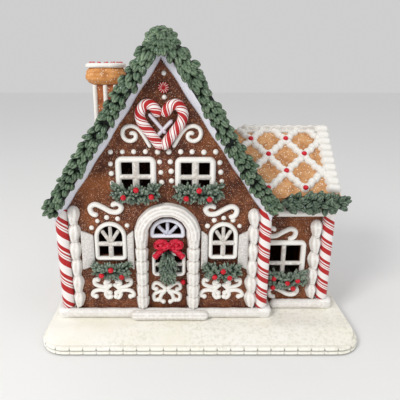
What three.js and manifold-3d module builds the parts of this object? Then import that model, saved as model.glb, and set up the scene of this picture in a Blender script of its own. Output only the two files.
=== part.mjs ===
// Gingerbread house on a snowy base, in millimetres, +Z up, front towards -Y.
// The origin is the middle of the underside of the base.

import * as THREE from 'three';
import { mergeVertices } from 'three/addons/utils/BufferGeometryUtils.js';
import Module from 'manifold-3d';

const wasm = await Module();
wasm.setup();

// Driving dimensions
const GAP = 0.3;
const BASE = {
  width: 314, depth: 200, height: 16, corner: 26, edge: 6, soft: 1.6, course: 4.7, courseSoft: 1.4, lap: 0.6,
};
const SNOW_SLOPE = { from: 18, to: 47, low: 6 };
const HOUSE = { x: -36, front: -54, half: 92.5, depth: 134, wall: 5, pitch: 56, apex: 284.5 };
const ROOF = { thick: 5, front: 9, back: 8, eave: 106 };
const PLINTH = { top: 27, out: 8, side: 111, back: 8, soft: 2.4 };
const STEP = { left: -34, right: 45, out: 6.4 };
const ANNEX = { front: -36, back: 68, side: 124.5, pitch: 42, ridge: 200, thick: 6, eave: 8, roofEnd: 137 };
const POST = { radius: 6.3, beside: 7, out: -1, top: 127, annexTop: 123.2, sides: 10 };
const DOOR = {
  u: 3.7, spring: 109, half: 19.6, foot: 4, arch: 25.8, archWidth: 12.8, archOut: 9.5, shells: 21,
  thick: 3, recess: 3,
};
const LOOK = {
  gingerbread: { color: 0x6e3e28, roughness: 0.8, metalness: 0 },
  biscuit: { color: 0xc8823c, roughness: 0.8, metalness: 0 },
  icing: { color: 0xebe8e2, roughness: 0.55, metalness: 0 },
  snow: { color: 0xf8f5ea, roughness: 0.7, metalness: 0 },
  leaf: { color: 0x4f7258, roughness: 0.65, metalness: 0 },
  candy: { color: 0xb9101e, roughness: 0.3, metalness: 0 },
  ribbon: { color: 0xc81432, roughness: 0.45, metalness: 0 },
};

// Sizes worked out from the driving ones
const PITCH = THREE.MathUtils.degToRad(HOUSE.pitch);
const ANNEX_PITCH = THREE.MathUtils.degToRad(ANNEX.pitch);
const FLOOR = BASE.height + GAP;
const LEDGE = PLINTH.top + GAP;
const HOUSE_BACK = HOUSE.front + HOUSE.depth;
const HOUSE_RIGHT = HOUSE.x + HOUSE.half;
const RIDGE_Y = (ANNEX.front + ANNEX.back) / 2;
const ANNEX_RUN = RIDGE_Y - ANNEX.front;
const HOLE_SEGMENTS = 6;

const model = new THREE.Group();

// A wall's own frame: x along the wall, y up, z out of the wall
function wallFrame(x, y, turn) {
  const upright = new THREE.Group();
  upright.rotation.x = Math.PI / 2;
  const place = new THREE.Group();
  place.position.set(x, y, 0);
  place.rotation.z = THREE.MathUtils.degToRad(turn);
  place.add(upright);
  model.add(place);
  model.updateMatrixWorld(true);
  return upright;
}

// A roof slope's own frame: x along the ridge, y up the slope, z out of it
function slopeFrame(ridge, turn, pitch) {
  const slope = new THREE.Group();
  slope.rotation.x = pitch;
  const place = new THREE.Group();
  place.position.copy(ridge);
  place.rotation.z = THREE.MathUtils.degToRad(turn);
  place.add(slope);
  model.add(place);
  model.updateMatrixWorld(true);
  return slope;
}

function add(frame, name, geometry, look) {
  const mesh = new THREE.Mesh(geometry, new THREE.MeshStandardMaterial(LOOK[look]));
  mesh.name = name;
  frame.add(mesh);
}

// Joining and cutting
function toSolid(geometry) {
  const bare = geometry.clone();
  bare.deleteAttribute('normal');
  bare.deleteAttribute('uv');
  const merged = mergeVertices(bare, 1e-4);
  return new wasm.Manifold(new wasm.Mesh({
    numProp: 3,
    vertProperties: Float32Array.from(merged.attributes.position.array),
    triVerts: Uint32Array.from(merged.index.array),
  }));
}

function toGeometry(solid) {
  const mesh = solid.getMesh();
  const geometry = new THREE.BufferGeometry();
  geometry.setAttribute('position', new THREE.BufferAttribute(mesh.vertProperties, 3));
  geometry.setIndex(new THREE.BufferAttribute(mesh.triVerts, 1));
  geometry.computeVertexNormals();
  return geometry;
}

function joined(pieces) {
  const solids = pieces.map(piece => (piece.isBufferGeometry ? toSolid(piece) : piece));
  return solids.reduce((whole, piece) => whole.add(piece));
}

function cutAway(whole, ...cutters) {
  return cutters.map(cutter => (cutter.isBufferGeometry ? toSolid(cutter) : cutter))
    .reduce((rest, cutter) => rest.subtract(cutter), whole);
}

// A wall panel with its window and door openings cut right through
function cutPanel(shape, openings) {
  const holes = openings.map(opening => plate(opening, 4 * HOUSE.wall, 2 * HOUSE.wall, HOLE_SEGMENTS));
  return cutAway(toSolid(plate(shape, HOUSE.wall, 0)), ...holes);
}

// The largest piece, by its outer skin alone
function outerSkin(solid) {
  const pieces = solid.decompose();
  pieces.sort((a, b) => b.volume() - a.volume());
  return toGeometry(pieces[0]);
}

function inWorld(geometry, frame) {
  return geometry.clone().applyMatrix4(frame.matrixWorld);
}

// A line of piped icing on a wall: a cylinder bent along a path, flat at the back
const PLAIN = () => 1;
const ROUND_ENDS = t => (Math.min(t, 1 - t) < 0.02 ? 0.55 : 1);

function piped(points, { width, height = 0.7 * width, steps, sides = 5, swell = ROUND_ENDS, lift = 0 }) {
  const spots = points.map(([x, y]) => new THREE.Vector3(x, y, 0));
  const path = spots.length > 2
    ? new THREE.CatmullRomCurve3(spots, false, 'centripetal')
    : new THREE.LineCurve3(...spots);
  const turned = sides % 2 ? 0 : Math.PI / sides;
  const line = new THREE.CylinderGeometry(1, 1, 1, sides, steps, false, turned);
  const vertex = line.attributes.position;
  for (let i = 0; i < vertex.count; i++) {
    const t = THREE.MathUtils.clamp(vertex.getY(i) + 0.5, 0, 1);
    const centre = path.getPointAt(t);
    const heading = path.getTangentAt(t);
    const across = vertex.getX(i) * width * swell(t) / 2;
    const out = Math.max(vertex.getZ(i), 0) * height * swell(t) + lift;
    vertex.setXYZ(i, centre.x + heading.y * across, centre.y - heading.x * across, out);
  }
  return line;
}

// Shells piped one after another: each is thin where it starts and fat after that
function shells(count) {
  return t => {
    const along = (t * count + 1e-6) % 1;
    return along < 0.2 ? 0.74 : 1 - 0.1 * Math.abs(along - 0.5);
  };
}

function mirrored(points) {
  return points.map(([x, y]) => [-x, y]);
}

function shifted(points, x, y) {
  return points.map(([px, py]) => [px + x, py + y]);
}

function outline(points) {
  return new THREE.Shape(points.map(([x, y]) => new THREE.Vector2(x, y)));
}

function box([left, right], [low, high]) {
  return outline([[left, low], [right, low], [right, high], [left, high]]);
}

// A plate with its front face at the given distance out of the wall
function plate(shape, thick, front, curveSegments = 8) {
  const geometry = new THREE.ExtrudeGeometry(shape, { depth: thick, bevelEnabled: false, curveSegments });
  return geometry.translate(0, 0, front - thick);
}

// A rail along the wall: its section is given as distance out of the wall and height
function rail(section, from, to) {
  const shape = outline(mirrored(section));
  const geometry = new THREE.ExtrudeGeometry(shape, { depth: to - from, bevelEnabled: false });
  return geometry.rotateY(Math.PI / 2).translate(from, 0, 0);
}

// A plate whose front and back edges are rounded off, standing on the wall
function softPlate(shape, height, round, back, curveSegments = 6) {
  const geometry = new THREE.ExtrudeGeometry(shape, {
    depth: height - 2 * round, bevelThickness: round, bevelSize: round, bevelOffset: -round,
    bevelSegments: 1, curveSegments, bevelEnabled: round > 0,
  });
  return geometry.translate(0, 0, back + round);
}

// An icing frame: a soft plate with its panes cut right through
function cutFrame(shape, panes, height, round, back, curveSegments) {
  const whole = toSolid(softPlate(shape, height, round, back, curveSegments));
  const holes = panes.map(pane => toSolid(plate(pane, 40, 20)));
  return toGeometry(holes.reduce((frame, hole) => frame.subtract(hole), whole));
}

function archOutline(u, half, low, spring) {
  const shape = new THREE.Shape();
  shape.moveTo(u - half, low);
  shape.lineTo(u + half, low);
  shape.lineTo(u + half, spring);
  shape.absarc(u, spring, half, 0, Math.PI, false);
  shape.closePath();
  return shape;
}

function roundedBox(halfWidth, halfHeight, radius) {
  const shape = new THREE.Shape();
  const corners = [[1, -1, -90], [1, 1, 0], [-1, 1, 90], [-1, -1, 180]];
  for (const [sideX, sideY, from] of corners) {
    const start = THREE.MathUtils.degToRad(from);
    shape.absarc(
      sideX * (halfWidth - radius), sideY * (halfHeight - radius), radius, start, start + Math.PI / 2, false,
    );
  }
  shape.closePath();
  return shape;
}

// Seeded draws between two values
function drawer(seed) {
  let state = seed;
  return (low, high) => {
    state = (state * 1664525 + 1013904223) % 4294967296;
    return low + (high - low) * state / 4294967296;
  };
}

// A leaf or sprig: a long diamond with a raised rib, pointing along an angle and tilted outwards
function leaf({ long, wide, thick }, [x, y, z], angle, tilt) {
  const shape = new THREE.OctahedronGeometry(1);
  shape.scale(wide / 2, long / 2, thick / 2);
  shape.translate(0, 0.3 * long, 0);
  shape.rotateX(THREE.MathUtils.degToRad(tilt));
  shape.rotateZ(THREE.MathUtils.degToRad(angle - 90));
  return shape.translate(x, y, z);
}

function berry(radius, x, y, z) {
  return new THREE.OctahedronGeometry(1.15 * radius).translate(x, y, z);
}

const front = wallFrame(HOUSE.x, HOUSE.front, 0);
const back = wallFrame(HOUSE.x, HOUSE_BACK, 180);
const leftSide = wallFrame(HOUSE.x - HOUSE.half, (HOUSE.front + HOUSE_BACK) / 2, -90);
const rightSide = wallFrame(HOUSE_RIGHT, (HOUSE.front + HOUSE_BACK) / 2, 90);
const annexFront = wallFrame(0, ANNEX.front, 0);
const annexBack = wallFrame(0, ANNEX.back, 180);
const annexSide = wallFrame(ANNEX.side, RIDGE_Y, 90);

// Places and sizes of what the walls and roofs carry
const ANNEX_ROOF = { length: 117, firstCrossing: 92, latticeStart: 20 };
const ANNEX_PANE = { half: 23.1, frame: 5.6, mullion: 4.8, bar: 4.6, above: 17.8 };
const DOOR_PANE = { half: 17.2, frame: 4.2, mullion: 4, bar: 3.4, above: 7.6 };
const EAVE_STRIP = { start: 12, section: [[-1, 21], [1, 21], [9, 14], [9, 9.5], [-1, 0.5]] };
const CHIMNEY = { x: -94.5, y: -4, wide: 27, deep: 25, foot: 150, top: 247.6, rope: 2.1, ropeInset: 2 };
const CAP = { wide: 41, deep: 38, high: 15.6, corner: 14, soft: 3.5 };
const CAP_ICING = {
  inset: 1.5, high: 4.4, corner: 13, soft: 1.5, sweets: 6, sweetRadius: 1.8, sweetInset: 5,
};
const FASCIA = { drop: 7, inset: 1.5, steps: 14, waves: 7, scallop: 0.22 };
const RAKE_GARLAND = {
  length: 186, lift: 6.2, core: { width: 13, height: 7.5 }, spacing: 17,
  leafSize: { long: 17, wide: 9.4, thick: 5 },
  rows: [
    { across: 4.2, out: 2.4, fan: 24, tilt: 10 },
    { across: 0.5, out: 5.6, fan: 4, tilt: 14 },
    { across: -4, out: 2.4, fan: -20, tilt: 12 },
  ],
};
const BERRY = 2.8;
const GARLANDS = {
  garland_upper_left: {
    u: -25.6, z: 151.5, half: 25, high: 23.5, seed: 3,
    berries: [[-24.9, 154.7], [-37.1, 147.6], [-10.6, 148.1]],
  },
  garland_upper_right: {
    u: 33.8, z: 151.5, half: 25.6, high: 22.5, seed: 4,
    berries: [[34, 154.1], [22, 146.4], [43.8, 145.8]],
  },
  garland_lower_left: {
    u: -52.2, z: 71.4, half: 21.4, high: 20, seed: 8,
    berries: [[-52.4, 72.3], [-62, 66.5], [-41.8, 65]],
  },
  garland_lower_right: {
    u: 58.2, z: 70.6, half: 20.8, high: 21.5, seed: 9,
    berries: [[58.7, 71.1], [50.4, 64.9], [65.3, 64.1]],
  },
};
const ANNEX_GARLAND = {
  u: 90, z: 52, half: 23.4, high: 25, seed: 6,
  berries: [[77.4, 54], [92, 48.6], [102.4, 51.4], [98.4, 42.4], [77, 43.6]],
};
const GARLAND_FANS = [
  { count: 4, from: 168, to: 12, rise: 1, long: 0.5, tilt: 14 },
  { count: 3, from: 205, to: 335, rise: -2, long: 0.42, tilt: 14 },
  { count: 2, from: 130, to: 50, rise: -1, long: 0.4, tilt: 30 },
];
const SPRIG = { wide: 5.4, thick: 4.4 };
const EAVE_GARLAND = {
  from: 78, to: 145, z: 138.4, out: 12.4, spacing: 10.4, wide: 5, thick: 4.4, seed: 77,
  rows: [{ rise: 5, out: 3.5, fan: 30 }, { rise: 0.5, out: 7, fan: -12 }, { rise: -4.5, out: 4, fan: -50 }],
};
const SHUTTER = { low: 74.6, high: 106.6, slant: 5, thick: 3.4, soft: 0.8 };
const SHUTTERS = {
  outer_left: { inner: -68.9, outer: -81.2 },
  inner_left: { inner: -36, outer: -29.6 },
  inner_right: { inner: 43.4, outer: 37 },
  outer_right: { inner: 73.7, outer: 83.4 },
};
const FANLIGHT = { half: 17.6, low: 104.2, high: 125, sill: 4, thick: 3.4, border: 4.2 };
const DOOR_WINDOW = { u: DOOR.u + 1, low: 60.6, high: 87.2 };
const KNOB = { u: DOOR.u + 15.4, z: 55, radius: 2.5 };
const BOW = { u: 4.4, z: 99.4, knot: 3.6, loop: { width: 5, height: 5 }, tail: { width: 6, height: 2.6 } };
const BOW_LOOP = [[0, 0], [6, 4.6], [12, 4.4], [14, -0.5], [9.5, -4], [2, -1.5]];
const BOW_TAIL = [[2, -3], [7.5, -9], [11.5, -17]];
const SWAG = { u: 3.9, top: 94, low: 54.4, half: 9.6, rowDrop: 9, seed: 5 };
const HEART_U = -0.4;
const CANE = [
  [-3.2, 196.4], [-10.5, 207.2], [-17.4, 216.4], [-19.2, 224.6], [-14.6, 232.2], [-8, 232.4], [-5, 226.6],
];
const CANE_SIZE = { width: 8.8, height: 7.4 };
const STICKS = [[[-12.4, 224.6], [3.4, 206]], [[9.4, 218.6], [-5.6, 203]]];
const STICK_SIZE = { width: 3.8, height: 3 };
const MINT = { u: 1.6, z: 247, radius: 4.9, thick: 2.4 };
const STACKS = {
  stack_left: { frame: front, u: -87.4, top: 137, count: 6 },
  stack_right: { frame: front, u: 88.2, top: 134, count: 6 },
  stack_annex: { frame: annexFront, u: 119.6, top: 116, count: 5 },
};
const STACK_SIZE = { width: 9.6, height: 6.4 };
const RIDGE_ROPE = { radius: 4.6, sides: 6 };
const STRAND = { width: 6.4, height: 4.4 };
const FRONT_LATTICE = { rise: 8, across: 18.2, down: 20.4, ...STRAND, sweets: true };
const BACK_LATTICE = { across: 54.6, down: 61.2, ...STRAND, sweets: false };
const MAIN_LATTICE = { across: 58, down: 68, ...STRAND, sweets: false };
const ROOF_SWEET = { radius: 3.2, fromLeft: 5, fromRight: 8 };
const BACK_ROPE = { middle: 2.6, count: 6, width: 10, height: 6 };

// How far piped trims sink into what carries them, and a length beyond every side of the part
const SINK = 0.4;
const FAR = 400;

// Height of the main roof's underside at u, or of a surface that far above it
function roofLine(u, lift = 0) {
  return HOUSE.apex + lift / Math.cos(PITCH) - Math.tan(PITCH) * Math.abs(u);
}

function annexRoofLine(run, lift = 0) {
  return ANNEX.ridge + (lift - ANNEX.thick) / Math.cos(ANNEX_PITCH) - Math.tan(ANNEX_PITCH) * Math.abs(run);
}

// The space of the main roof and what lies the given depth under it, with a gap, in world coordinates
function mainRoofSpace(depth = 1) {
  const reach = ROOF.eave + ROOF.thick * Math.sin(PITCH) + GAP;
  const above = [-reach, 0, reach].map(u => [u, roofLine(u, ROOF.thick + GAP)]);
  const below = [reach, 0, -reach].map(u => [u, roofLine(u, -depth)]);
  const room = HOUSE.depth + ROOF.front + ROOF.back + 2 * GAP;
  return toSolid(inWorld(plate(outline([...above, ...below]), room, ROOF.front + GAP), front));
}

// Base: a snowy board that slopes down to the front, with an edge of two piped courses
function makeBase() {
  const { width, depth, height, corner, edge, course } = BASE;
  const inner = spare => {
    const inset = edge - spare;
    return roundedBox(width / 2 - inset, depth / 2 - inset, corner - inset);
  };
  const board = toSolid(softPlate(inner(0), height, BASE.soft, 0, 2));
  const { from, to, low } = SNOW_SLOPE;
  const wedge = rail([[from, height], [from, 2 * height], [to, 2 * height], [to, low]], -width, width);
  add(model, 'base_board', toGeometry(cutAway(board, inWorld(wedge, front))), 'snow');
  const outer = roundedBox(width / 2, depth / 2, corner);
  const courses = [0, course - BASE.lap].map(foot => softPlate(outer, course, BASE.courseSoft, foot, 2));
  const hole = plate(inner(GAP), 4 * height, 2 * height, 2);
  add(model, 'base_edge', outerSkin(cutAway(joined(courses), hole)), 'snow');
}

// Plinth: a fat line of icing on the base, round the foot of the walls
function makePlinths() {
  const centreY = (HOUSE.front - PLINTH.out + HOUSE_BACK + PLINTH.back) / 2;
  const halfDepth = (HOUSE.depth + PLINTH.out + PLINTH.back) / 2;
  const ring = roundedBox(PLINTH.side, halfDepth, PLINTH.out);
  const acrossHouse = [-HOUSE.half - GAP, HOUSE.half + GAP];
  const throughHouse = [HOUSE.front - GAP - centreY, HOUSE_BACK + GAP - centreY];
  ring.holes.push(box(acrossHouse, throughHouse));
  const rope = softPlate(ring, PLINTH.top - FLOOR, PLINTH.soft, FLOOR, 2);
  add(model, 'plinth_main', rope.translate(HOUSE.x, centreY, 0), 'icing');

  const start = HOUSE.x + PLINTH.side + GAP;
  const end = ANNEX.side + PLINTH.side - HOUSE.half;
  const low = ANNEX.front - PLINTH.out;
  const high = ANNEX.back + PLINTH.back;
  const hook = outline([
    [start, low], [end, low], [end, high], [start, high], [start, ANNEX.back + GAP],
    [ANNEX.side + GAP, ANNEX.back + GAP], [ANNEX.side + GAP, ANNEX.front - GAP], [start, ANNEX.front - GAP],
  ]);
  add(model, 'plinth_annex', softPlate(hook, PLINTH.top - FLOOR, PLINTH.soft, FLOOR), 'icing');

  const middle = (FLOOR + PLINTH.top) / 2;
  const blobs = t => (Math.min(t, 1 - t) < 0.01 ? 0.5 : 1 - 0.12 * Math.sin(Math.PI * t));
  add(front, 'door_step', piped([[STEP.left, middle], [STEP.right, middle]], {
    width: PLINTH.top - FLOOR, height: STEP.out, steps: 8, sides: 6, swell: blobs, lift: PLINTH.out + GAP,
  }), 'icing');
}

// Windows, each given by its middle, its outer size and the panes inside it
const UPPER_WINDOWS = [
  { name: 'left', u: -25.4, low: 148, high: 185 },
  { name: 'right', u: 30.6, low: 148, high: 184.6 },
];
const LOWER_WINDOWS = [
  { name: 'left', u: -52.4, half: 15.9, spring: 104.6, low: 79.8 },
  { name: 'right', u: 58.6, half: 14.6, spring: 105.6, low: 81 },
];
const UPPER_PANE = { half: 19.2, frame: 5.7, mullion: 6.6, bar: 5, above: 11.4 };
const LOWER_PANE = { frame: 4.4, mullion: 5, bar: 4.6, drop: 5 };
const ANNEX_WINDOW = { u: 87.7, low: 46, high: 93.6 };
const SIDE_WINDOW = { low: 72, high: 112, opening: 14, border: 5 };
const WINDOW_OUT = 4;

// Distance out of the wall at which the door's bow and swag hang
const HANGING = WINDOW_OUT + 2 * GAP - DOOR.recess;

// Rays of a fan of panes, as shares of its half turn, and how much each ray takes of a pane's turn
const RAYS = [0, 0.27, 0.5, 0.73, 1].map(part => part * Math.PI);
const RAY = 0.16;

// A four-pane window; above is the height of the upper panes
function squareWindow({ u, low, high }, { half, frame, mullion, bar, above }, round = 1) {
  const shape = roundedBox(half, (high - low) / 2, 4);
  const middle = (high + low) / 2;
  const top = high - frame - middle;
  const split = top - above;
  const panes = [];
  for (const side of [-1, 1]) {
    const columns = [side * mullion / 2, side * (half - frame)].sort((a, b) => a - b);
    panes.push(box(columns, [split, top]), box(columns, [low + frame - middle, split - bar]));
  }
  return cutFrame(shape, panes, WINDOW_OUT, round, GAP, 1).translate(u, middle, 0);
}

// An arched window: two panes below a bar and a fan of four above it
function archedWindow({ u, half, spring, low }) {
  const { frame, mullion, bar, drop } = LOWER_PANE;
  const shape = archOutline(u, half, low, spring);
  const sill = spring - drop;
  const panes = [];
  for (const side of [-1, 1]) {
    const columns = [u + side * mullion / 2, u + side * (half - frame)].sort((a, b) => a - b);
    panes.push(box(columns, [low + frame, sill - bar]));
  }
  const radius = half - frame;
  for (let i = 0; i < RAYS.length - 1; i++) {
    const from = RAYS[i] + (i > 0 ? RAY : RAY / 4);
    const to = RAYS[i + 1] - (i < RAYS.length - 2 ? RAY : RAY / 4);
    const mid = (from + to) / 2;
    const pane = [[u + frame * Math.cos(mid), sill + 1 + frame * Math.sin(mid)]];
    for (const angle of [from, mid, to]) {
      pane.push([u + radius * Math.cos(angle), sill + GAP + (radius + drop - 1) * Math.sin(angle)]);
    }
    panes.push(outline(pane));
  }
  return cutFrame(shape, panes, WINDOW_OUT, 0.9, GAP, 6);
}

// Scrolls, piped on the walls
const CURL = [
  [-10.8, 193.2], [-18.5, 206.2], [-23.5, 211.4], [-29.3, 213], [-34.7, 211], [-36.6, 206.2],
  [-34.6, 201.2], [-29.5, 199.2], [-24.8, 201.8], [-24.6, 205.6],
];
const CURL_MIDDLE = -0.6;
const CURL_WIDTH = 4;
const SCROLL_HALF = [[-8, -6], [-14.5, -4], [-15.4, 1.8], [-9.2, 4.8], [-1.9, 0.9]];
const LACE = [
  [[1.5, 0.5], [7, 3], [13.5, 3.2], [19, 6], [18, 10], [13, 9]],
  [[1.5, -0.5], [7, -3.2], [13, -2.6], [19, -4.2], [19, -8.6], [15.2, -8.8]],
  [[5, -3], [6.2, -6.4], [2.8, -9.4]],
];
const SCROLL_WIDTH = 4.6;
const LACE_WIDTH = 4.2;
const FRONT_SCROLLS = [{ u: -55.3, z: 133.2, side: 1 }, { u: 55.8, z: 131.8, side: -1 }];
const ANNEX_SCROLLS = [{ u: 83.5, z: 101.8, side: -1 }, { u: 90, z: 34.6, side: 1 }];
const FRONT_LACES = [{ u: -52, z: 48.5, size: 1 }, { u: 58.5, z: 48.5, size: 1 }];
const DOOR_LACE = { u: DOOR.u - 0.6, z: 43.6, size: 0.74 };

function sScroll({ u, z, side }) {
  const other = SCROLL_HALF.map(([x, y]) => [-x, -y]).reverse();
  const points = [...SCROLL_HALF, ...other].map(([x, y]) => [x * side, y]);
  return piped(shifted(points, u, z), { width: SCROLL_WIDTH, steps: 11, sides: 4, lift: -SINK });
}

function lace({ u, z, size }) {
  const lines = [];
  for (const arm of LACE) {
    for (const points of [arm, mirrored(arm)]) {
      const scaled = points.map(([x, y]) => [x * size, y * size]);
      const look = { width: LACE_WIDTH, steps: arm.length - 1, sides: 4, lift: -SINK };
      lines.push(piped(shifted(scaled, u, z), look));
    }
  }
  return lines;
}

// Rows of icing dots: start, step and count
const DOT_ROWS = [
  { from: [-48.3, 189], step: [10.85, 0], count: 10 },
  { from: [-49, 177.5], step: [0.3, -9], count: 3 },
  { from: [-2.8, 179.2], step: [0.8, -9.6], count: 3 },
  { from: [7, 179.4], step: [0.5, -9], count: 3 },
  { from: [53.2, 178.7], step: [1.2, -8.8], count: 3 },
  { from: [1.8, 259], step: [0.2, -20.4], count: 2 },
];
const DOT = { radius: 2.3, high: 2.8, sides: 5, arc: 22.5, arcCount: 5, arcFrom: 35, arcTo: 145 };

function dot(u, z) {
  const cone = new THREE.ConeGeometry(DOT.radius, DOT.high, DOT.sides).rotateX(Math.PI / 2);
  return cone.translate(u, z, DOT.high / 2 - SINK);
}

function wallDots() {
  const dots = [];
  for (const { from, step, count } of DOT_ROWS) {
    for (let i = 0; i < count; i++) {
      dots.push(dot(from[0] + step[0] * i, from[1] + step[1] * i));
    }
  }
  for (const { u, spring } of LOWER_WINDOWS) {
    for (let i = 0; i < DOT.arcCount; i++) {
      const turn = DOT.arcFrom + (DOT.arcTo - DOT.arcFrom) * i / (DOT.arcCount - 1);
      const angle = THREE.MathUtils.degToRad(turn);
      dots.push(dot(u + DOT.arc * Math.cos(angle), spring - 0.5 + DOT.arc * Math.sin(angle)));
    }
  }
  return dots;
}

// Walls
function gablePanel() {
  const { half } = HOUSE;
  const eave = roofLine(half, -GAP);
  return outline([[-half, FLOOR], [half, FLOOR], [half, eave], [0, roofLine(0, -GAP)], [-half, eave]]);
}

function makeFrontWall() {
  const openings = [archOutline(DOOR.u, DOOR.half + GAP, FLOOR + DOOR.foot, DOOR.spring)];
  for (const { u, low, high } of UPPER_WINDOWS) {
    const { half, frame } = UPPER_PANE;
    openings.push(box([u - half + frame - 1, u + half - frame + 1], [low + frame - 1, high - frame + 1]));
  }
  for (const { u, half, spring, low } of LOWER_WINDOWS) {
    const { frame } = LOWER_PANE;
    openings.push(archOutline(u, half - frame + 0.8, low + frame - 0.8, spring));
  }
  const panel = cutPanel(gablePanel(), openings);
  const otherCurl = CURL.map(([x, y]) => [2 * CURL_MIDDLE - x, y]);
  const curls = [CURL, otherCurl].map(points => (
    piped(points, { width: CURL_WIDTH, steps: 10, sides: 4, lift: -SINK })
  ));
  const trims = [...wallDots(), ...curls, ...FRONT_SCROLLS.map(sScroll), ...FRONT_LACES.flatMap(lace)];
  add(front, 'front_wall', outerSkin(joined([panel, ...trims])), 'gingerbread');
}

// A side or back panel with its windows, the icing frames joined to it
function windowedPanel(shape, places) {
  const { low, high, opening, border } = SIDE_WINDOW;
  const openings = places.map(u => box([u - opening, u + opening], [low + border, high - border]));
  const frames = places.map(u => squareWindow({ u, low, high }, UPPER_PANE, 0).translate(0, 0, -2 * GAP));
  return outerSkin(joined([cutPanel(shape, openings), ...frames]));
}

function makePlainWalls() {
  add(back, 'back_wall', windowedPanel(gablePanel(), [-38, 38]), 'gingerbread');
  const half = HOUSE.depth / 2 - HOUSE.wall - GAP;
  const side = box([-half, half], [FLOOR, roofLine(HOUSE.half, -2 * GAP)]);
  add(leftSide, 'left_wall', windowedPanel(side, [0]), 'gingerbread');
  add(rightSide, 'right_wall', plate(side, HOUSE.wall, 0), 'gingerbread');
}

function makeAnnexWalls() {
  const clear = mainRoofSpace();
  const inner = HOUSE_RIGHT + GAP;
  const top = annexRoofLine(ANNEX_RUN, -GAP);
  const { u, low, high } = ANNEX_WINDOW;
  const { half, frame, mullion } = ANNEX_PANE;
  const openings = [-1, 1].map(side => {
    const columns = [u + side * (mullion - 1) / 2, u + side * (half - frame + 1)].sort((a, b) => a - b);
    return box(columns, [low + frame - 1, high - frame + 1]);
  });
  const foot = HOUSE.x + PLINTH.side + GAP;
  const wallShape = side => outline([
    [foot, FLOOR], [ANNEX.side, FLOOR], [ANNEX.side, top], [inner, top], [inner, LEDGE], [foot, LEDGE],
  ].map(([x, z]) => [side * x, z]));
  const panel = cutPanel(wallShape(1), openings);
  const section = EAVE_STRIP.section.map(([out, drop]) => [out, top - drop]);
  const strip = rail(section, inner + EAVE_STRIP.start, ANNEX.roofEnd);
  const wall = joined([panel, strip, ...ANNEX_SCROLLS.map(sScroll)]);
  const standing = wall.transform(annexFront.matrixWorld.toArray());
  add(model, 'annex_front_wall', outerSkin(standing.subtract(clear)), 'gingerbread');

  const backWall = toSolid(inWorld(plate(wallShape(-1), HOUSE.wall, 0), annexBack));
  add(model, 'annex_back_wall', outerSkin(backWall.subtract(clear)), 'gingerbread');

  const reach = ANNEX_RUN - HOUSE.wall - GAP;
  const eave = annexRoofLine(reach, -GAP);
  const peak = annexRoofLine(0, -GAP);
  const gable = outline([[-reach, FLOOR], [reach, FLOOR], [reach, eave], [0, peak], [-reach, eave]]);
  add(annexSide, 'annex_side_wall', windowedPanel(gable, [0]), 'gingerbread');
}

// Roof slabs, each cut square at its eave
function makeRoofs() {
  const { thick, eave } = ROOF;
  const ridge = GAP / 2;
  const lipU = eave + thick * Math.sin(PITCH);
  const lipZ = roofLine(eave) + thick * Math.cos(PITCH);
  for (const [name, side] of [['roof_left', -1], ['roof_right', 1]]) {
    const under = [[ridge, roofLine(ridge)], [eave, roofLine(eave)]];
    const above = [[lipU, lipZ], [ridge, roofLine(ridge, thick)]];
    const slab = outline([...under, ...above].map(([u, z]) => [u * side, z]));
    add(front, name, plate(slab, HOUSE.depth + ROOF.front + ROOF.back, ROOF.front), 'gingerbread');
  }

  const clear = mainRoofSpace();
  const run = ANNEX_RUN + ANNEX.eave;
  const lipRun = run + ANNEX.thick * Math.sin(ANNEX_PITCH);
  const lipTop = annexRoofLine(run) + ANNEX.thick * Math.cos(ANNEX_PITCH);
  for (const [name, side] of [['annex_roof_front', -1], ['annex_roof_back', 1]]) {
    const under = [[ridge, annexRoofLine(ridge)], [run, annexRoofLine(run)]];
    const above = [[lipRun, lipTop], [ridge, annexRoofLine(ridge, ANNEX.thick)]];
    const section = outline([...under, ...above].map(([y, z]) => [y * side, z]));
    const slab = plate(section, ANNEX_ROOF.length, ANNEX.roofEnd - ANNEX.side);
    add(model, name, outerSkin(toSolid(inWorld(slab, annexSide)).subtract(clear)), 'biscuit');
  }
}

// Lattice of piped icing over a slope, with or without sweets on its crossings
function lattice(field, { start, rise = 0, across, down, width, height, sweets }) {
  const pieces = [];
  for (const side of [-1, 1]) {
    const slope = side * down / across;
    for (let k = -12; k <= 12; k++) {
      const ends = clipLine(start + (2 * k + 1) * across - rise / slope, slope, field);
      if (ends) {
        pieces.push(piped(ends, { width, height, steps: 1, sides: 4, swell: PLAIN }));
      }
    }
  }
  const origin = field.top + rise;
  for (let row = 1; sweets && origin - row * down > field.bottom; row++) {
    for (let k = -6; k <= 6; k++) {
      const x = start + (2 * k + (row % 2 ? 0 : 1)) * across;
      if (x > field.left + ROOF_SWEET.fromLeft && x < field.right - ROOF_SWEET.fromRight) {
        const sweet = new THREE.OctahedronGeometry(ROOF_SWEET.radius);
        pieces.push(sweet.translate(x, origin - row * down, height + 1));
      }
    }
  }
  return pieces;
}

// The stretch inside a rectangle of the line that crosses its top edge at x
function clipLine(x, slope, { left, right, top, bottom }) {
  const yAt = px => top + (px - x) * slope;
  const xAt = py => x + (py - top) / slope;
  const low = Math.max(bottom, Math.min(yAt(left), yAt(right)));
  const high = Math.min(top, Math.max(yAt(left), yAt(right)));
  if (high - low < 8) {
    return null;
  }
  return [[xAt(high), high], [xAt(low), low]];
}

function roofRope(from, to, count, size) {
  return piped([from, to], { ...size, steps: 2 * count, sides: 4, swell: shells(count) });
}

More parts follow.
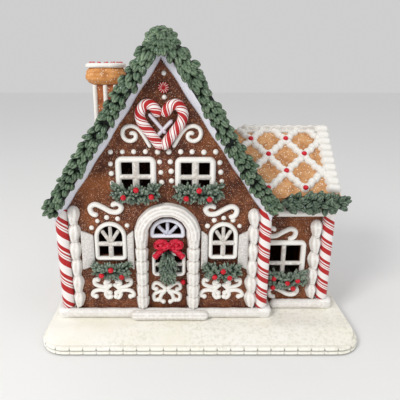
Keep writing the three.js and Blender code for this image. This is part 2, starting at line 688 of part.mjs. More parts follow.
function makeRoofIcing() {
  const run = ROOF.eave / Math.cos(PITCH);
  const ridge = new THREE.Vector3(HOUSE.x, 0, roofLine(0, ROOF.thick));
  const ends = { low: HOUSE.front - ROOF.front + 5, high: HOUSE_BACK + ROOF.back - 2 };
  const pieces = [];
  for (const turn of [-90, 90]) {
    const slope = slopeFrame(ridge, turn, PITCH);
    const [left, right] = turn < 0 ? [-ends.high, -ends.low] : [ends.low, ends.high];
    const field = { left, right, top: -2, bottom: -run + 4 };
    for (const strand of lattice(field, { start: (left + right) / 2, ...MAIN_LATTICE })) {
      pieces.push(inWorld(strand, slope));
    }
    const eave = piped([[left, field.bottom], [right, field.bottom]], {
      width: 9, height: 5, steps: 12, sides: 4, swell: shells(6),
    });
    pieces.push(inWorld(eave, slope));
  }
  const rope = ridgeRope(ends.high - ends.low);
  pieces.push(rope.translate(HOUSE.x, (ends.high + ends.low) / 2, ridge.z - 1.6));
  const { x, y, wide, deep } = CHIMNEY;
  const reachX = wide / 2 + 4;
  const reachY = deep / 2 + 4;
  const stack = plate(box([x - reachX, x + reachX], [y - reachY, y + reachY]), FAR, FAR);
  const icing = cutAway(joined(pieces), mainRoofSpace(20), stack, annexSpace(15, ANNEX_ROOF.length));
  add(model, 'main_roof_icing', outerSkin(icing), 'icing');
}

function ridgeRope(length) {
  return new THREE.CylinderGeometry(RIDGE_ROPE.radius, RIDGE_ROPE.radius, length, RIDGE_ROPE.sides);
}

// The space under the annex roof's top, or under a surface that far above its underside
function annexSpace(lift, length, beyond = 0) {
  const reach = 90;
  const corners = [[-reach, 0], [reach, 0]].concat([reach, 0, -reach].map(y => [y, annexRoofLine(y, lift)]));
  return inWorld(plate(outline(corners), length, ANNEX.roofEnd - ANNEX.side + beyond), annexSide);
}

function makeAnnexRoofIcing() {
  const ridge = new THREE.Vector3(0, RIDGE_Y, annexRoofLine(0, ANNEX.thick));
  const run = (ANNEX_RUN + ANNEX.eave) / Math.cos(ANNEX_PITCH);
  const edge = ANNEX.roofEnd - 5;
  const pieces = [];
  for (const [turn, sign] of [[0, 1], [180, -1]]) {
    const slope = slopeFrame(ridge, turn, ANNEX_PITCH);
    const sides = [sign * ANNEX_ROOF.latticeStart, sign * edge].sort((a, b) => a - b);
    const field = { left: sides[0], right: sides[1], top: 0, bottom: -run + 2 };
    const start = sign * ANNEX_ROOF.firstCrossing;
    const strands = lattice(field, { start, ...(turn ? BACK_LATTICE : FRONT_LATTICE) });
    const border = roofRope([sign * edge, 1], [sign * edge, -run + 1], 7, { width: 10, height: 6 });
    for (const piece of [...strands, border]) {
      pieces.push(inWorld(piece, slope));
    }
  }
  const { latticeStart, length } = ANNEX_ROOF;
  const rope = ridgeRope(edge - latticeStart).rotateZ(Math.PI / 2);
  pieces.push(rope.translate((edge + latticeStart) / 2, RIDGE_Y, ridge.z + 0.2));
  const slab = annexSpace(ANNEX.thick + GAP, 2 * length, 20);
  const icing = cutAway(joined(pieces), slab, mainRoofSpace());
  add(model, 'annex_roof_icing', outerSkin(icing), 'icing');
}

// Chimney: a biscuit shaft with piped corners, a soft biscuit cap and icing on it
function makeChimney() {
  const { x, y, wide, deep, foot, top, rope, ropeInset } = CHIMNEY;
  const high = top - foot;
  const middle = (top + foot) / 2;
  const shaft = new THREE.BoxGeometry(wide - 3, deep - 3, high).translate(x, y, middle);
  const ropes = [];
  for (const along of [-1, 0, 1]) {
    for (const side of [-1, 1]) {
      const upright = new THREE.CylinderGeometry(rope, rope, high - 2, 6).rotateX(Math.PI / 2);
      ropes.push(upright.translate(x + along * (wide / 2 - ropeInset), y + side * (deep / 2 - 1.5), middle));
    }
  }
  const standing = joined([shaft, ...ropes]).subtract(mainRoofSpace(high));
  add(model, 'chimney_shaft', outerSkin(standing), 'biscuit');

  const capShape = roundedBox(CAP.wide / 2, CAP.deep / 2, CAP.corner);
  const biscuit = softPlate(capShape, CAP.high, CAP.soft, top + GAP, 2);
  add(model, 'chimney_cap', biscuit.translate(x, y, 0), 'biscuit');

  const { inset, sweetInset } = CAP_ICING;
  const layerShape = roundedBox(CAP.wide / 2 - inset, CAP.deep / 2 - inset, CAP_ICING.corner);
  const layerBack = top + 2 * GAP + CAP.high;
  const layer = softPlate(layerShape, CAP_ICING.high, CAP_ICING.soft, layerBack, 2).translate(x, y, 0);
  const sweets = [];
  for (let i = 0; i < CAP_ICING.sweets; i++) {
    const angle = 2 * Math.PI * i / CAP_ICING.sweets;
    const reachX = (CAP.wide / 2 - sweetInset) * Math.cos(angle);
    const reachY = (CAP.deep / 2 - sweetInset) * Math.sin(angle);
    const sweet = new THREE.OctahedronGeometry(CAP_ICING.sweetRadius);
    sweets.push(sweet.translate(x + reachX, y + reachY, layerBack + CAP_ICING.high));
  }
  add(model, 'chimney_icing', outerSkin(joined([layer, ...sweets])), 'icing');
}

// Slanting band of icing under the front edge of the roof, with a scalloped outer edge
function makeFascia() {
  const deep = ROOF.front - 1;
  const reach = HOUSE.half - FASCIA.inset;
  const length = reach / Math.cos(PITCH);
  const section = outline([[0, 0], [deep, 0], [0, -FASCIA.drop / Math.cos(PITCH)]]);
  const shape = { depth: length, steps: FASCIA.steps, bevelEnabled: false };
  const bands = [-1, 1].map(side => {
    const band = new THREE.ExtrudeGeometry(section, shape);
    const vertex = band.attributes.position;
    for (let i = 0; i < vertex.count; i++) {
      const part = vertex.getZ(i) / length;
      const along = side > 0 ? 1 - part : part;
      const scallop = 1 - FASCIA.scallop * (0.5 + 0.5 * Math.sin(2 * Math.PI * FASCIA.waves * along));
      const u = along * reach;
      vertex.setXYZ(i, side * u, roofLine(u, -GAP) + vertex.getY(i), vertex.getX(i) * scallop + GAP);
    }
    return band;
  });
  add(front, 'rake_fascia', outerSkin(joined(bands)), 'icing');
}

// Leaf garland down one front edge of the roof, its leaves lapped down the slope
function makeRakeGarland(name, side, seed) {
  const draw = drawer(seed);
  const { lift, core, rows, spacing, leafSize, length } = RAKE_GARLAND;
  const along = (distance, across) => {
    const u = distance * Math.cos(PITCH) + (lift + across) * Math.sin(PITCH);
    return [side * u, HOUSE.apex - distance * Math.sin(PITCH) + (lift + across) * Math.cos(PITCH)];
  };
  const backOut = ROOF.front + GAP;
  const start = along(-5.2, -1);
  start[0] = side * GAP / 2;
  const pieces = [piped([start, along(length - 3, 0)], {
    width: core.width, height: core.height, steps: 8, sides: 6, swell: PLAIN, lift: backOut,
  })];
  const down = side > 0 ? -HOUSE.pitch : HOUSE.pitch - 180;
  for (let distance = 2; distance < length; distance += spacing) {
    for (const [row, { across, out, fan, tilt }] of rows.entries()) {
      const at = along(distance + spacing * row / rows.length + draw(-1, 1), across);
      const grown = draw(0.9, 1.15);
      const size = { long: leafSize.long * grown, wide: leafSize.wide * grown, thick: leafSize.thick };
      const turn = down + side * fan + draw(-12, 12);
      const rise = tilt + draw(-5, 5);
      if (side * at[0] > leafSize.wide / 2 + 1.5) {
        pieces.push(leaf(size, [...at, backOut + out], turn, rise));
      }
    }
  }
  const half = plate(box(side > 0 ? [GAP / 2, FAR] : [-FAR, -GAP / 2], [0, FAR]), FAR, backOut + FAR);
  add(front, name, outerSkin(joined(pieces).intersect(toSolid(half))), 'leaf');
}

// Frosted sprigs with berries, fanned out on a sagging core
function makeGarland(frame, name, { u, z, half, high, berries, seed }) {
  const draw = drawer(seed);
  const out = WINDOW_OUT + 2 * GAP;
  const sag = x => (0.28 * (x / half) ** 2 - 0.12) * high;
  const inner = half - 7;
  const spots = [-1, -0.5, 0, 0.5, 1].map(part => [u + part * inner, z + sag(part * inner)]);
  const pieces = [piped(spots, { width: 0.6 * high, height: 5, steps: 4, sides: 6, lift: out })];
  for (const { count, from, to, rise, long, tilt } of GARLAND_FANS) {
    for (let i = 0; i < count; i++) {
      const part = i / (count - 1);
      const x = (2 * part - 1) * inner;
      const size = { long: long * high * draw(0.9, 1.15), ...SPRIG };
      const angle = from + (to - from) * part + draw(-10, 10);
      pieces.push(leaf(size, [u + x, z + sag(x) + rise, out + 2.6], angle, tilt));
    }
  }
  for (const [x, y] of berries) {
    pieces.push(berry(BERRY, x, y, out + 3));
  }
  add(frame, name, outerSkin(cutAway(joined(pieces), behind(out))), 'leaf');
}

// All that lies behind a distance out of the wall
function behind(out) {
  return plate(box([-FAR, FAR], [-FAR, FAR]), FAR, out);
}

// Garland along the annex eave, its sprigs pointing sideways and down
function makeEaveGarland() {
  const { from, to, z, out, spacing, wide, thick, rows, seed } = EAVE_GARLAND;
  const draw = drawer(seed);
  const core = { width: 14, height: 8, steps: 4, sides: 6, lift: out };
  const pieces = [piped([[from + 2, z], [to - 4, z]], core)];
  for (let x = from + 5; x < to - 6; x += spacing) {
    for (const row of rows) {
      const size = { long: draw(10, 13), wide, thick };
      const angle = row.fan + draw(-16, 16);
      const spot = [x + draw(-1, 1), z + row.rise, out + row.out - 1];
      pieces.push(leaf(size, spot, angle, draw(8, 20)));
    }
  }
  add(annexFront, 'annex_eave_garland', outerSkin(cutAway(joined(pieces), behind(out))), 'leaf');
}

function makeWindows() {
  for (const place of UPPER_WINDOWS) {
    add(front, `window_upper_${place.name}`, squareWindow(place, UPPER_PANE), 'icing');
  }
  for (const place of LOWER_WINDOWS) {
    add(front, `window_lower_${place.name}`, archedWindow(place), 'icing');
  }
  add(annexFront, 'window_annex', squareWindow(ANNEX_WINDOW, ANNEX_PANE), 'icing');
  const { low, high, slant, thick, soft } = SHUTTER;
  for (const [name, { inner, outer }] of Object.entries(SHUTTERS)) {
    const shape = outline([[inner, low], [outer, low - slant], [outer, high + slant], [inner, high]]);
    add(front, `shutter_${name}`, softPlate(shape, thick, soft, GAP), 'icing');
  }
}

// Doorway: the shell arch, the door and what hangs on it
function makeDoorway() {
  const { u, spring, half, arch, archWidth, thick, recess } = DOOR;
  const turns = 8;
  const points = [[u - arch, LEDGE], [u - arch, (LEDGE + spring) / 2]];
  for (let i = 0; i <= turns; i++) {
    const angle = Math.PI * (1 - i / turns);
    points.push([u + arch * Math.cos(angle), spring + arch * Math.sin(angle)]);
  }
  points.push([u + arch, (LEDGE + spring) / 2], [u + arch, LEDGE]);
  const look = { width: archWidth, height: DOOR.archOut, swell: shells(DOOR.shells), lift: GAP };
  add(front, 'door_arch', piped(points, { ...look, steps: 2 * DOOR.shells, sides: 4 }), 'icing');

  const face = -recess;
  const panel = plate(archOutline(u, half, FLOOR + DOOR.foot + GAP, spring), thick, face, HOLE_SEGMENTS);
  const knob = new THREE.IcosahedronGeometry(KNOB.radius, 0);
  knob.translate(KNOB.u, KNOB.z, face + KNOB.radius / 2);
  const scroll = lace(DOOR_LACE).map(line => line.translate(0, 0, face));
  add(front, 'door', outerSkin(joined([panel, knob, ...scroll])), 'gingerbread');
  add(front, 'fanlight', fanlight().translate(0, 0, face + GAP), 'icing');
  add(front, 'door_window', squareWindow(DOOR_WINDOW, DOOR_PANE, 0).translate(0, 0, face), 'icing');
}

// The half-round window over the door, with a fan of four panes
function fanlight() {
  const { u } = DOOR;
  const { half, low, high, sill, thick, border } = FANLIGHT;
  const middle = low + sill;
  const fan = new THREE.Shape();
  fan.moveTo(u - half, low);
  fan.lineTo(u + half, low);
  fan.lineTo(u + half, middle);
  fan.absellipse(u, middle, half, high - middle, 0, Math.PI, false);
  const panes = [];
  for (let i = 0; i < RAYS.length - 1; i++) {
    const from = RAYS[i] + RAY;
    const to = RAYS[i + 1] - RAY;
    const mid = (from + to) / 2;
    const pane = [[u + border * Math.cos(mid), middle + 0.5 + 3 * Math.sin(mid)]];
    for (const angle of [from, to]) {
      pane.push([u + (half - border) * Math.cos(angle), middle + (high - middle - border) * Math.sin(angle)]);
    }
    panes.push(outline(pane));
  }
  return cutFrame(fan, panes, thick, 0.8, 0, HOLE_SEGMENTS);
}

// Bow: two loops, two tails and a knot
function makeBow() {
  const { u, z, knot, loop, tail } = BOW;
  const pieces = [];
  for (const side of [-1, 1]) {
    const loopPath = shifted(BOW_LOOP.map(([x, y]) => [side * x, y]), u, z);
    pieces.push(piped(loopPath, { ...loop, steps: 6, sides: 4, lift: HANGING }));
    pieces.push(piped(tailPath(side), { ...tail, steps: 2, sides: 4, lift: HANGING }));
  }
  pieces.push(new THREE.IcosahedronGeometry(knot, 0).translate(u, z, HANGING + tail.height));
  add(front, 'door_bow', outerSkin(cutAway(joined(pieces), behind(HANGING))), 'ribbon');
}

function tailPath(side) {
  return shifted(BOW_TAIL.map(([x, y]) => [side * x, y]), BOW.u, BOW.z);
}

// Swag: a hanging bunch of needles, fat below the middle
function makeSwag() {
  const { u, top, low, half, rowDrop, seed } = SWAG;
  const draw = drawer(seed);
  const fat = t => 0.5 + 0.5 * Math.sin(Math.PI * Math.min(1, 0.12 + 0.86 * t));
  const pieces = [piped([[u, top], [u, low + 3]], {
    width: 1.5 * half, height: 6, steps: 6, sides: 6, swell: fat, lift: HANGING,
  })];
  for (let row = 0; row < 3; row++) {
    const z = top - 7 - row * rowDrop;
    const reach = half * 0.55 * Math.sin(Math.PI * (0.25 + 0.2 * row));
    for (const part of [-1, 0, 1]) {
      const size = { long: 10 * draw(0.9, 1.1), wide: 5, thick: 4 };
      const spot = [u + part * reach, z + draw(-1, 1), HANGING + 4];
      pieces.push(leaf(size, spot, -90 + part * 32 + draw(-8, 8), 12));
    }
  }
  const above = plate(box([u - FAR, u + FAR], [BOW.z - 5.4, FAR]), FAR, FAR / 2);
  const { width, height } = BOW.tail;
  const room = { width: width + 4 * GAP, height: height + 3 * GAP, lift: HANGING - GAP };
  const tails = [-1, 1].map(side => piped(tailPath(side), { ...room, steps: 2, sides: 4, swell: PLAIN }));
  const bunch = cutAway(joined(pieces), behind(HANGING), above, ...tails);
  add(front, 'door_swag', outerSkin(bunch), 'leaf');
}

// Heart: two candy canes and two crossing sticks
function makeHeart() {
  const cane = (side, size) => {
    const points = CANE.map(([x, y]) => [HEART_U + side * x, y]);
    return piped(points, { ...size, steps: 10, sides: 6 });
  };
  const { width, height } = CANE_SIZE;
  for (const [name, side] of [['cane_left', 1], ['cane_right', -1]]) {
    add(front, name, cane(side, { width, height, lift: GAP }), 'candy');
  }
  const room = { width: width + 4 * GAP, height: height + 2 * GAP, swell: PLAIN };
  const look = { ...STICK_SIZE, steps: 1, sides: 4, swell: PLAIN, lift: GAP };
  const sticks = STICKS.map(ends => piped(ends, look));
  const cross = cutAway(joined(sticks), cane(1, room), cane(-1, room));
  add(front, 'heart_sticks', outerSkin(cross), 'icing');
  const disc = new THREE.CylinderGeometry(MINT.radius, 0.9 * MINT.radius, MINT.thick, 16);
  add(front, 'mint', disc.rotateX(Math.PI / 2).translate(MINT.u, MINT.z, GAP + MINT.thick / 2), 'candy');
}

// Striped posts at the corners and the shell stacks beside the front ones
function makePosts() {
  const { radius, out } = POST;
  const right = HOUSE.x + HOUSE.half + POST.beside;
  const left = HOUSE.x - HOUSE.half - POST.beside;
  const annexRight = ANNEX.side + POST.beside;
  const posts = {
    post_front_left: [left, HOUSE.front - out],
    post_front_right: [right, HOUSE.front - out],
    post_annex_front: [annexRight, ANNEX.front - out],
    post_back_left: [left, HOUSE_BACK + out],
    post_back_right: [right, HOUSE_BACK + out],
    post_annex_back: [annexRight, ANNEX.back + out],
  };
  for (const [name, [x, y]] of Object.entries(posts)) {
    const top = name.includes('annex') ? POST.annexTop : POST.top;
    const post = new THREE.CylinderGeometry(radius, radius, top - LEDGE, POST.sides).rotateX(Math.PI / 2);
    add(model, name, post.translate(x, y, (top + LEDGE) / 2), 'candy');
  }
  for (const [name, { frame, u, top, count }] of Object.entries(STACKS)) {
    const look = { ...STACK_SIZE, steps: 2 * count, sides: 4, swell: shells(count), lift: GAP };
    add(frame, name, piped([[u, top], [u, LEDGE]], look), 'icing');
  }
}

// Rope of icing shells up the back edges of the roof
function makeBackRake() {
  const { middle, count, width, height } = BACK_ROPE;
  const reach = ROOF.eave - 4;
  const look = { width, height, steps: 2 * count, sides: 4, swell: shells(count), lift: ROOF.back + GAP };
  const peak = [0, roofLine(0, middle)];
  const foot = roofLine(reach, middle);
  const halves = [[[-reach, foot], peak], [peak, [reach, foot]]].map(ends => piped(ends, look));
  add(back, 'rake_back', outerSkin(joined(halves)), 'icing');
}

makeBase();
makePlinths();
makeFrontWall();
makePlainWalls();
makeAnnexWalls();
makeRoofs();
makeRoofIcing();
makeAnnexRoofIcing();
makeChimney();
makeFascia();
makeBackRake();
makeRakeGarland('garland_rake_left', -1, 11);
makeRakeGarland('garland_rake_right', 1, 23);
for (const [name, garland] of Object.entries(GARLANDS)) {
  makeGarland(front, name, garland);
}
makeGarland(annexFront, 'garland_annex', ANNEX_GARLAND);
makeEaveGarland();
makeWindows();
makeDoorway();
makeBow();
makeSwag();
makeHeart();
makePosts();

export default model;
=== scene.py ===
# Dresses the gingerbread house: piped icing, leaf garlands, frosted sprays, striped sweets and glitter.
# Sizes here are in millimetres, in the frame of the solids; every mesh is turned into metres at the end.

import functools
import math
import random
from types import SimpleNamespace as Sizes

import bmesh
import bpy
import numpy as np
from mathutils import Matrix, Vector, noise


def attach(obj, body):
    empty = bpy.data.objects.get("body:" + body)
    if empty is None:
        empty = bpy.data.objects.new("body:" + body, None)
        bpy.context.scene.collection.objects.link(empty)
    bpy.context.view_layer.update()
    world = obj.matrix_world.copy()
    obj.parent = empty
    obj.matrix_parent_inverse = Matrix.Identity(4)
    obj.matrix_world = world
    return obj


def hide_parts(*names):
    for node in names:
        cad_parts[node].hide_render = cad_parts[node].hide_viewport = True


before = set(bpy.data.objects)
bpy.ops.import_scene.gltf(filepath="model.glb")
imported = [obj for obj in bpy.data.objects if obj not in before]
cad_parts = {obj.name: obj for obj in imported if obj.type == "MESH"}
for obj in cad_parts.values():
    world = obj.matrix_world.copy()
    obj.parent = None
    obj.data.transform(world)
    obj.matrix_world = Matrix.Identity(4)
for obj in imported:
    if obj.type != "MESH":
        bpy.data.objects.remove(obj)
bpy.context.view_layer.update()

# Driving dimensions, the same as those of the solids
MM = 0.001
GAP = 0.3
BASE = Sizes(width=314, depth=200, height=16, corner=26, edge=6, course=4.7, lap=0.6)
SNOW_SLOPE = Sizes(start=18, end=47, low=6)
HOUSE = Sizes(x=-36, front=-54, half=92.5, depth=134, wall=5, pitch=56, apex=284.5)
ROOF = Sizes(thick=5, front=9, back=8, eave=106)
PLINTH = Sizes(top=27, out=8, side=111)
ANNEX = Sizes(front=-36, back=68, side=124.5, pitch=42, ridge=200, thick=6, eave=8, end=137)
POST = Sizes(radius=6.3, beside=7, out=-1, top=127, annex_top=123.2)
DOOR = Sizes(u=3.7, spring=107, half=19.6, arch=25.8, recess=3)
CHIMNEY = Sizes(
    x=-94.5, y=-4, wide=27, deep=25, top=247.6, cap_wide=41, cap_deep=38, cap_high=15.6,
    shaft=23.6, shift=1.6,
)
FLOOR = BASE.height + GAP
LEDGE = PLINTH.top + GAP
PITCH = math.radians(HOUSE.pitch)
ANNEX_PITCH = math.radians(ANNEX.pitch)
HOUSE_BACK = HOUSE.front + HOUSE.depth
HOUSE_MIDDLE = (HOUSE.front + HOUSE_BACK) / 2
HOUSE_RIGHT = HOUSE.x + HOUSE.half
RIDGE_Y = (ANNEX.front + ANNEX.back) / 2
ANNEX_RUN = RIDGE_Y - ANNEX.front
TAU = 2 * math.pi

# How far piped lines are sunk into a wall, and how far windows and the door's dressing stand out
SUNK = -0.3
WINDOW_OUT = 4.3
DOOR_FACE = -DOOR.recess
DOOR_OUT = DOOR_FACE + 4.6


def roof_line(u, lift=0.0):
    return HOUSE.apex + lift / math.cos(PITCH) - math.tan(PITCH) * abs(u)


def annex_roof_line(run, lift=0.0):
    drop = math.tan(ANNEX_PITCH) * abs(run)
    return ANNEX.ridge + (lift - ANNEX.thick) / math.cos(ANNEX_PITCH) - drop


# Camera and light, in metres
CAMERA = dict(lens=38.88, sensor_width=36, shift_x=0.045, clip_start=0.01)
CAMERA_PLACE = (-0.018, -0.450, 0.266)
CAMERA_TILT = math.radians(72.65)
SKY_STRENGTH = 0.62
LIT_SPOT = Vector((0, 0, 0.12))
LIGHTS = {
    "key": ((-0.75, -0.95, 1.0), dict(size=0.4, energy=11, color=(1.0, 0.98, 0.95))),
    "fill": ((0.9, -0.9, 0.5), dict(size=0.9, energy=2, color=(0.93, 0.96, 1.0))),
}
FLOOR_SIZE = 8
FLOOR_TONES = (0.92, 0.92, 0.92), (0.8, 0.8, 0.8)


def linked(name, data):
    made = bpy.data.objects.new(name, data)
    bpy.context.scene.collection.objects.link(made)
    return made


def placed(name, data, place, turn, settings):
    """A camera or a light in the scene."""
    for key, value in settings.items():
        setattr(data, key, value)
    made = linked(name, data)
    made.location, made.rotation_euler = place, turn
    return made


def make_studio():
    camera = bpy.data.cameras.new("camera")
    bpy.context.scene.camera = placed("camera", camera, CAMERA_PLACE, (CAMERA_TILT, 0, 0), CAMERA)
    for name, (place, settings) in LIGHTS.items():
        turn = (LIT_SPOT - Vector(place)).to_track_quat("-Z", "Y").to_euler()
        placed(name, bpy.data.lights.new(name, "AREA"), place, turn, settings)
    world = bpy.data.worlds.new("studio")
    world.use_nodes = True
    sky = world.node_tree.nodes["Background"].inputs
    sky["Color"].default_value = (1, 1, 1, 1)
    sky["Strength"].default_value = SKY_STRENGTH
    bpy.context.scene.world = world
    bpy.context.scene.view_settings.view_transform = "Standard"
    bpy.ops.mesh.primitive_plane_add(size=FLOOR_SIZE, location=(0, 0, 0))
    floor = bpy.context.object
    floor.name = "floor"
    floor.data.materials.append(floor_material())


# Materials
def srgb(red, green, blue):
    parts = [value / 255 for value in (red, green, blue)]
    return tuple(p / 12.92 if p <= 0.04045 else ((p + 0.055) / 1.055) ** 2.4 for p in parts)


class Flow:
    """What one node gives to others; arithmetic and comparison with it add Math nodes."""

    def __init__(self, shade, socket):
        self.shade, self.socket = shade, socket

    def __rsub__(self, other):
        return self.shade.math("SUBTRACT", other, self)


for sign, named in dict(
    add="ADD", sub="SUBTRACT", mul="MULTIPLY", truediv="DIVIDE", lt="LESS_THAN", gt="GREATER_THAN",
).items():
    setattr(Flow, f"__{sign}__", lambda self, other, named=named: self.shade.math(named, self, other))


class Shade:
    """A material's node tree, with a short way to add each kind of node."""

    def __init__(self, name, roughness, shine=0.5):
        self.material = bpy.data.materials.new(name)
        self.material.use_nodes = True
        self.tree = self.material.node_tree
        self.surface = self.tree.nodes["Principled BSDF"].inputs
        self.surface["Roughness"].default_value = roughness
        self.surface["Specular IOR Level"].default_value = shine
        self.spot = self.node("TexCoord", "Object")

    def node(self, kind, output, inputs=None, **settings):
        """A new node with its inputs set or linked, as the flow out of one of its outputs."""
        made = self.tree.nodes.new("ShaderNode" + kind)
        for key, value in settings.items():
            setattr(made, key, value)
        for socket, value in (inputs or {}).items():
            self.feed(made.inputs[socket], value)
        return Flow(self, made.outputs[output])

    def feed(self, target, value):
        if isinstance(value, Flow):
            self.tree.links.new(value.socket, target)
        else:
            target.default_value = value

    def noise(self, scale, detail=3, rough=0.6):
        inputs = {"Scale": scale, "Detail": detail, "Roughness": rough, "Vector": self.spot}
        return self.node("TexNoise", "Fac", inputs)

    def cells(self, scale, output):
        return self.node("TexVoronoi", output, {"Scale": scale, "Vector": self.spot})

    def math(self, operation, first, second=0.0):
        return self.node("Math", 0, {0: first, 1: second}, operation=operation)

    def ramp(self, value, *stops):
        made = self.node("ValToRGB", "Color", {"Fac": value})
        points = made.socket.node.color_ramp.elements
        while len(points) < len(stops):
            points.new(0.5)
        for point, (place, colour) in zip(points, stops):
            point.position = place
            point.color = (*colour, 1)
        return made

    def step(self, value, low, high):
        inputs = {"From Min": low, "From Max": high, "Value": value}
        return self.node("MapRange", "Result", inputs, interpolation_type="SMOOTHSTEP")

    def mix(self, amount, first, second):
        first, second = ((*value, 1) if isinstance(value, tuple) else value for value in (first, second))
        return self.node("Mix", 2, {"Factor": amount, 6: first, 7: second}, data_type="RGBA")

    def guide(self, number):
        """One of the three numbers in the guide of each point."""
        vector = self.node("Attribute", "Vector", attribute_name="guide")
        return self.node("SeparateXYZ", number, {0: vector})

    def turn(self):
        """The turn round a sweet, from the cosine and sine in the guide, in whole turns."""
        return self.math("ARCTAN2", self.guide(2), self.guide(1)) / TAU

    def speckle(self, scale, share, reach=0.36):
        """Small sparse grains, in those cells whose own random number is under the share."""
        own_number = self.node("SeparateColor", 0, {0: self.cells(scale, "Color")})
        return (own_number < share) * (self.cells(scale, "Distance") < reach)

    def bump(self, height, strength, distance=0.0005):
        inputs = {"Strength": strength, "Distance": distance, "Height": height}
        self.feed(self.surface["Normal"], self.node("Bump", "Normal", inputs))

    def finish(self, colour):
        self.feed(self.surface["Base Color"], colour)
        return self.material


def floor_material():
    shade = Shade("floor", 0.9)
    return shade.finish(shade.mix(shade.noise(40) * 0.06, *FLOOR_TONES))


def gingerbread_material():
    shade = Shade("gingerbread", 0.72, 0.25)
    stops = (0.28, srgb(48, 24, 17)), (0.5, srgb(86, 46, 31)), (0.68, srgb(130, 76, 48))
    tone = shade.ramp(shade.noise(55, 5, 0.65), *stops)
    tone = shade.mix(shade.step(shade.noise(17, 2), 0.52, 0.72) * 0.5, tone, srgb(156, 90, 44))
    grain = shade.noise(900, 2)
    tone = shade.mix(shade.step(grain, 0.56, 0.7), tone, srgb(176, 122, 88))
    sugar = shade.speckle(1500, 0.075)
    shade.bump(grain + sugar * 0.5, 0.35)
    shade.feed(shade.surface["Roughness"], 0.74 - sugar * 0.5)
    return shade.finish(shade.mix(sugar, tone, srgb(232, 214, 200)))


def biscuit_material(name, light, middle, dark):
    """Golden biscuit, with painted shade: the guide's first number darkens it beside the icing."""
    shade = Shade(name, 0.75)
    tone = shade.ramp(shade.noise(90, 5, 0.7), (0.3, dark), (0.5, middle), (0.7, light))
    # Painted shade: the biscuit goes towards its dark colour where the guide's first number is high
    tone = shade.mix(shade.step(shade.guide(0), 0.2, 1.0) * 0.75, tone, dark)
    sugar = shade.speckle(750, 0.2)
    shade.bump(shade.noise(700, 3) + sugar, 0.5, 0.0007)
    return shade.finish(shade.mix(sugar, tone, srgb(252, 242, 226)))


def icing_material(name, white, hollow_shade):
    """White icing, with painted shade, greyer and creamier, where the guide's first number says that a groove
    lies deep.
    """
    shade = Shade(name, 0.5)
    tone = shade.mix(shade.noise(60), white, tuple(0.93 * part for part in white))
    streak = shade.noise(260)
    shade.bump(streak, 0.12, 0.0006)
    # Painted shade: the groove colour, broken up by streaks, where the guide's first number marks a deep
    # groove
    return shade.finish(shade.mix(shade.guide(0) * 0.8 * shade.step(streak, 0.25, 0.6), tone, hollow_shade))


def woven_material(name, light, dark):
    """Rough icing with a fine grain of threads."""
    shade = Shade(name, 0.6)
    grain = shade.noise(520, 4, 0.7)
    shade.bump(grain + shade.cells(900, "Distance") * 0.6, 0.45, 0.0008)
    return shade.finish(shade.mix(shade.step(grain, 0.4, 0.66), dark, light))


def snow_material():
    """Patchy snow, with painted shade where the guide's first number says a seam or a stitch lies deep."""
    shade = Shade("snow", 0.7)
    tone = shade.ramp(shade.noise(28, 4), (0.35, srgb(246, 243, 229)), (0.65, srgb(251, 249, 242)))
    mottle = shade.step(shade.noise(300), 0.46, 0.66) * 0.6
    tone = shade.mix(mottle * shade.step(shade.noise(9, 2), 0.36, 0.56), tone, srgb(220, 219, 204))
    shade.bump(shade.noise(650), 0.25, 0.0006)
    # Painted shade: a dark grey where the guide marks a seam or a stitch
    return shade.finish(shade.mix(shade.guide(0) * 0.95, tone, srgb(70, 70, 58)))


def leaf_material(name, deep, middle, light, frost):
    """Painted leaves: the guide says where frost lies, where painted shade darkens what lies deep in the
    spray, and each leaf's tint.
    """
    shade = Shade(name, 0.55, 0.3)
    tone = shade.ramp(shade.noise(160, 4), (0.32, deep), (0.5, middle), (0.68, light))
    tone = shade.mix(shade.guide(0) * shade.step(shade.noise(500), 0.3, 0.62), tone, frost)
    tone = shade.mix(shade.guide(2) * 0.4, tone, middle)
    # Painted shade: a near-black green where the guide's second number is low
    painted_shade = 1.0 - shade.step(shade.guide(1), 0.05, 0.8)
    tone = shade.mix(painted_shade, tone, tuple(0.22 * part for part in deep))
    shade.bump(shade.noise(600), 0.2)
    return shade.finish(shade.mix(shade.speckle(1100, 0.012), tone, srgb(215, 235, 250)))


def berry_material():
    shade = Shade("berry", 0.3, 0.3)
    shade.bump(shade.noise(500, 2), 0.3)
    return shade.finish(shade.ramp(shade.noise(300, 2), (0.3, srgb(170, 14, 30)), (0.7, srgb(222, 34, 52))))


def ribbon_material():
    shade = Shade("ribbon", 0.45, 0.25)
    stops = (0.3, srgb(140, 4, 30)), (0.5, srgb(200, 16, 48)), (0.72, srgb(232, 60, 86))
    tone = shade.ramp(shade.noise(320), *stops)
    shade.bump(shade.cells(1300, "Distance"), 0.6, 0.0006)
    return shade.finish(shade.mix(shade.speckle(1500, 0.1), tone, srgb(255, 170, 180)))


def stripe_material(name, period, starts, bands, soft=0.012):
    """Candy stripes: the guide holds the way along, in millimetres, and the turn's cosine and sine."""
    shade = Shade(name, 0.34, 0.22)
    phase = shade.math("FRACT", shade.guide(0) / period + shade.turn() * starts + 50.0)
    red, white = srgb(176, 0, 10), srgb(238, 234, 232)
    stops = [(0.0, white)]
    for begin, end in bands:
        stops += [(begin, white), (begin + soft, red), (end - soft, red), (end, white)]
    shade.bump(shade.noise(300, 2), 0.08)
    tone = shade.ramp(phase, *stops, (1.0, white))
    return shade.finish(shade.mix(shade.noise(240) * 0.1, tone, srgb(212, 176, 172)))


def mint_material(rays=12, lean=0.45, half_ray=0.11, middle=0.34):
    """Rays of a round sweet: the guide holds the distance from its middle and the turn's cosine and sine."""
    shade = Shade("mint", 0.3, 0.22)
    reach = shade.guide(0)
    phase = shade.math("FRACT", shade.turn() * rays + reach * lean + 50.0)
    ray = shade.math("ABSOLUTE", phase - 0.5) < half_ray
    return shade.finish(shade.mix(ray * (reach > middle), srgb(150, 0, 14), srgb(238, 222, 214)))


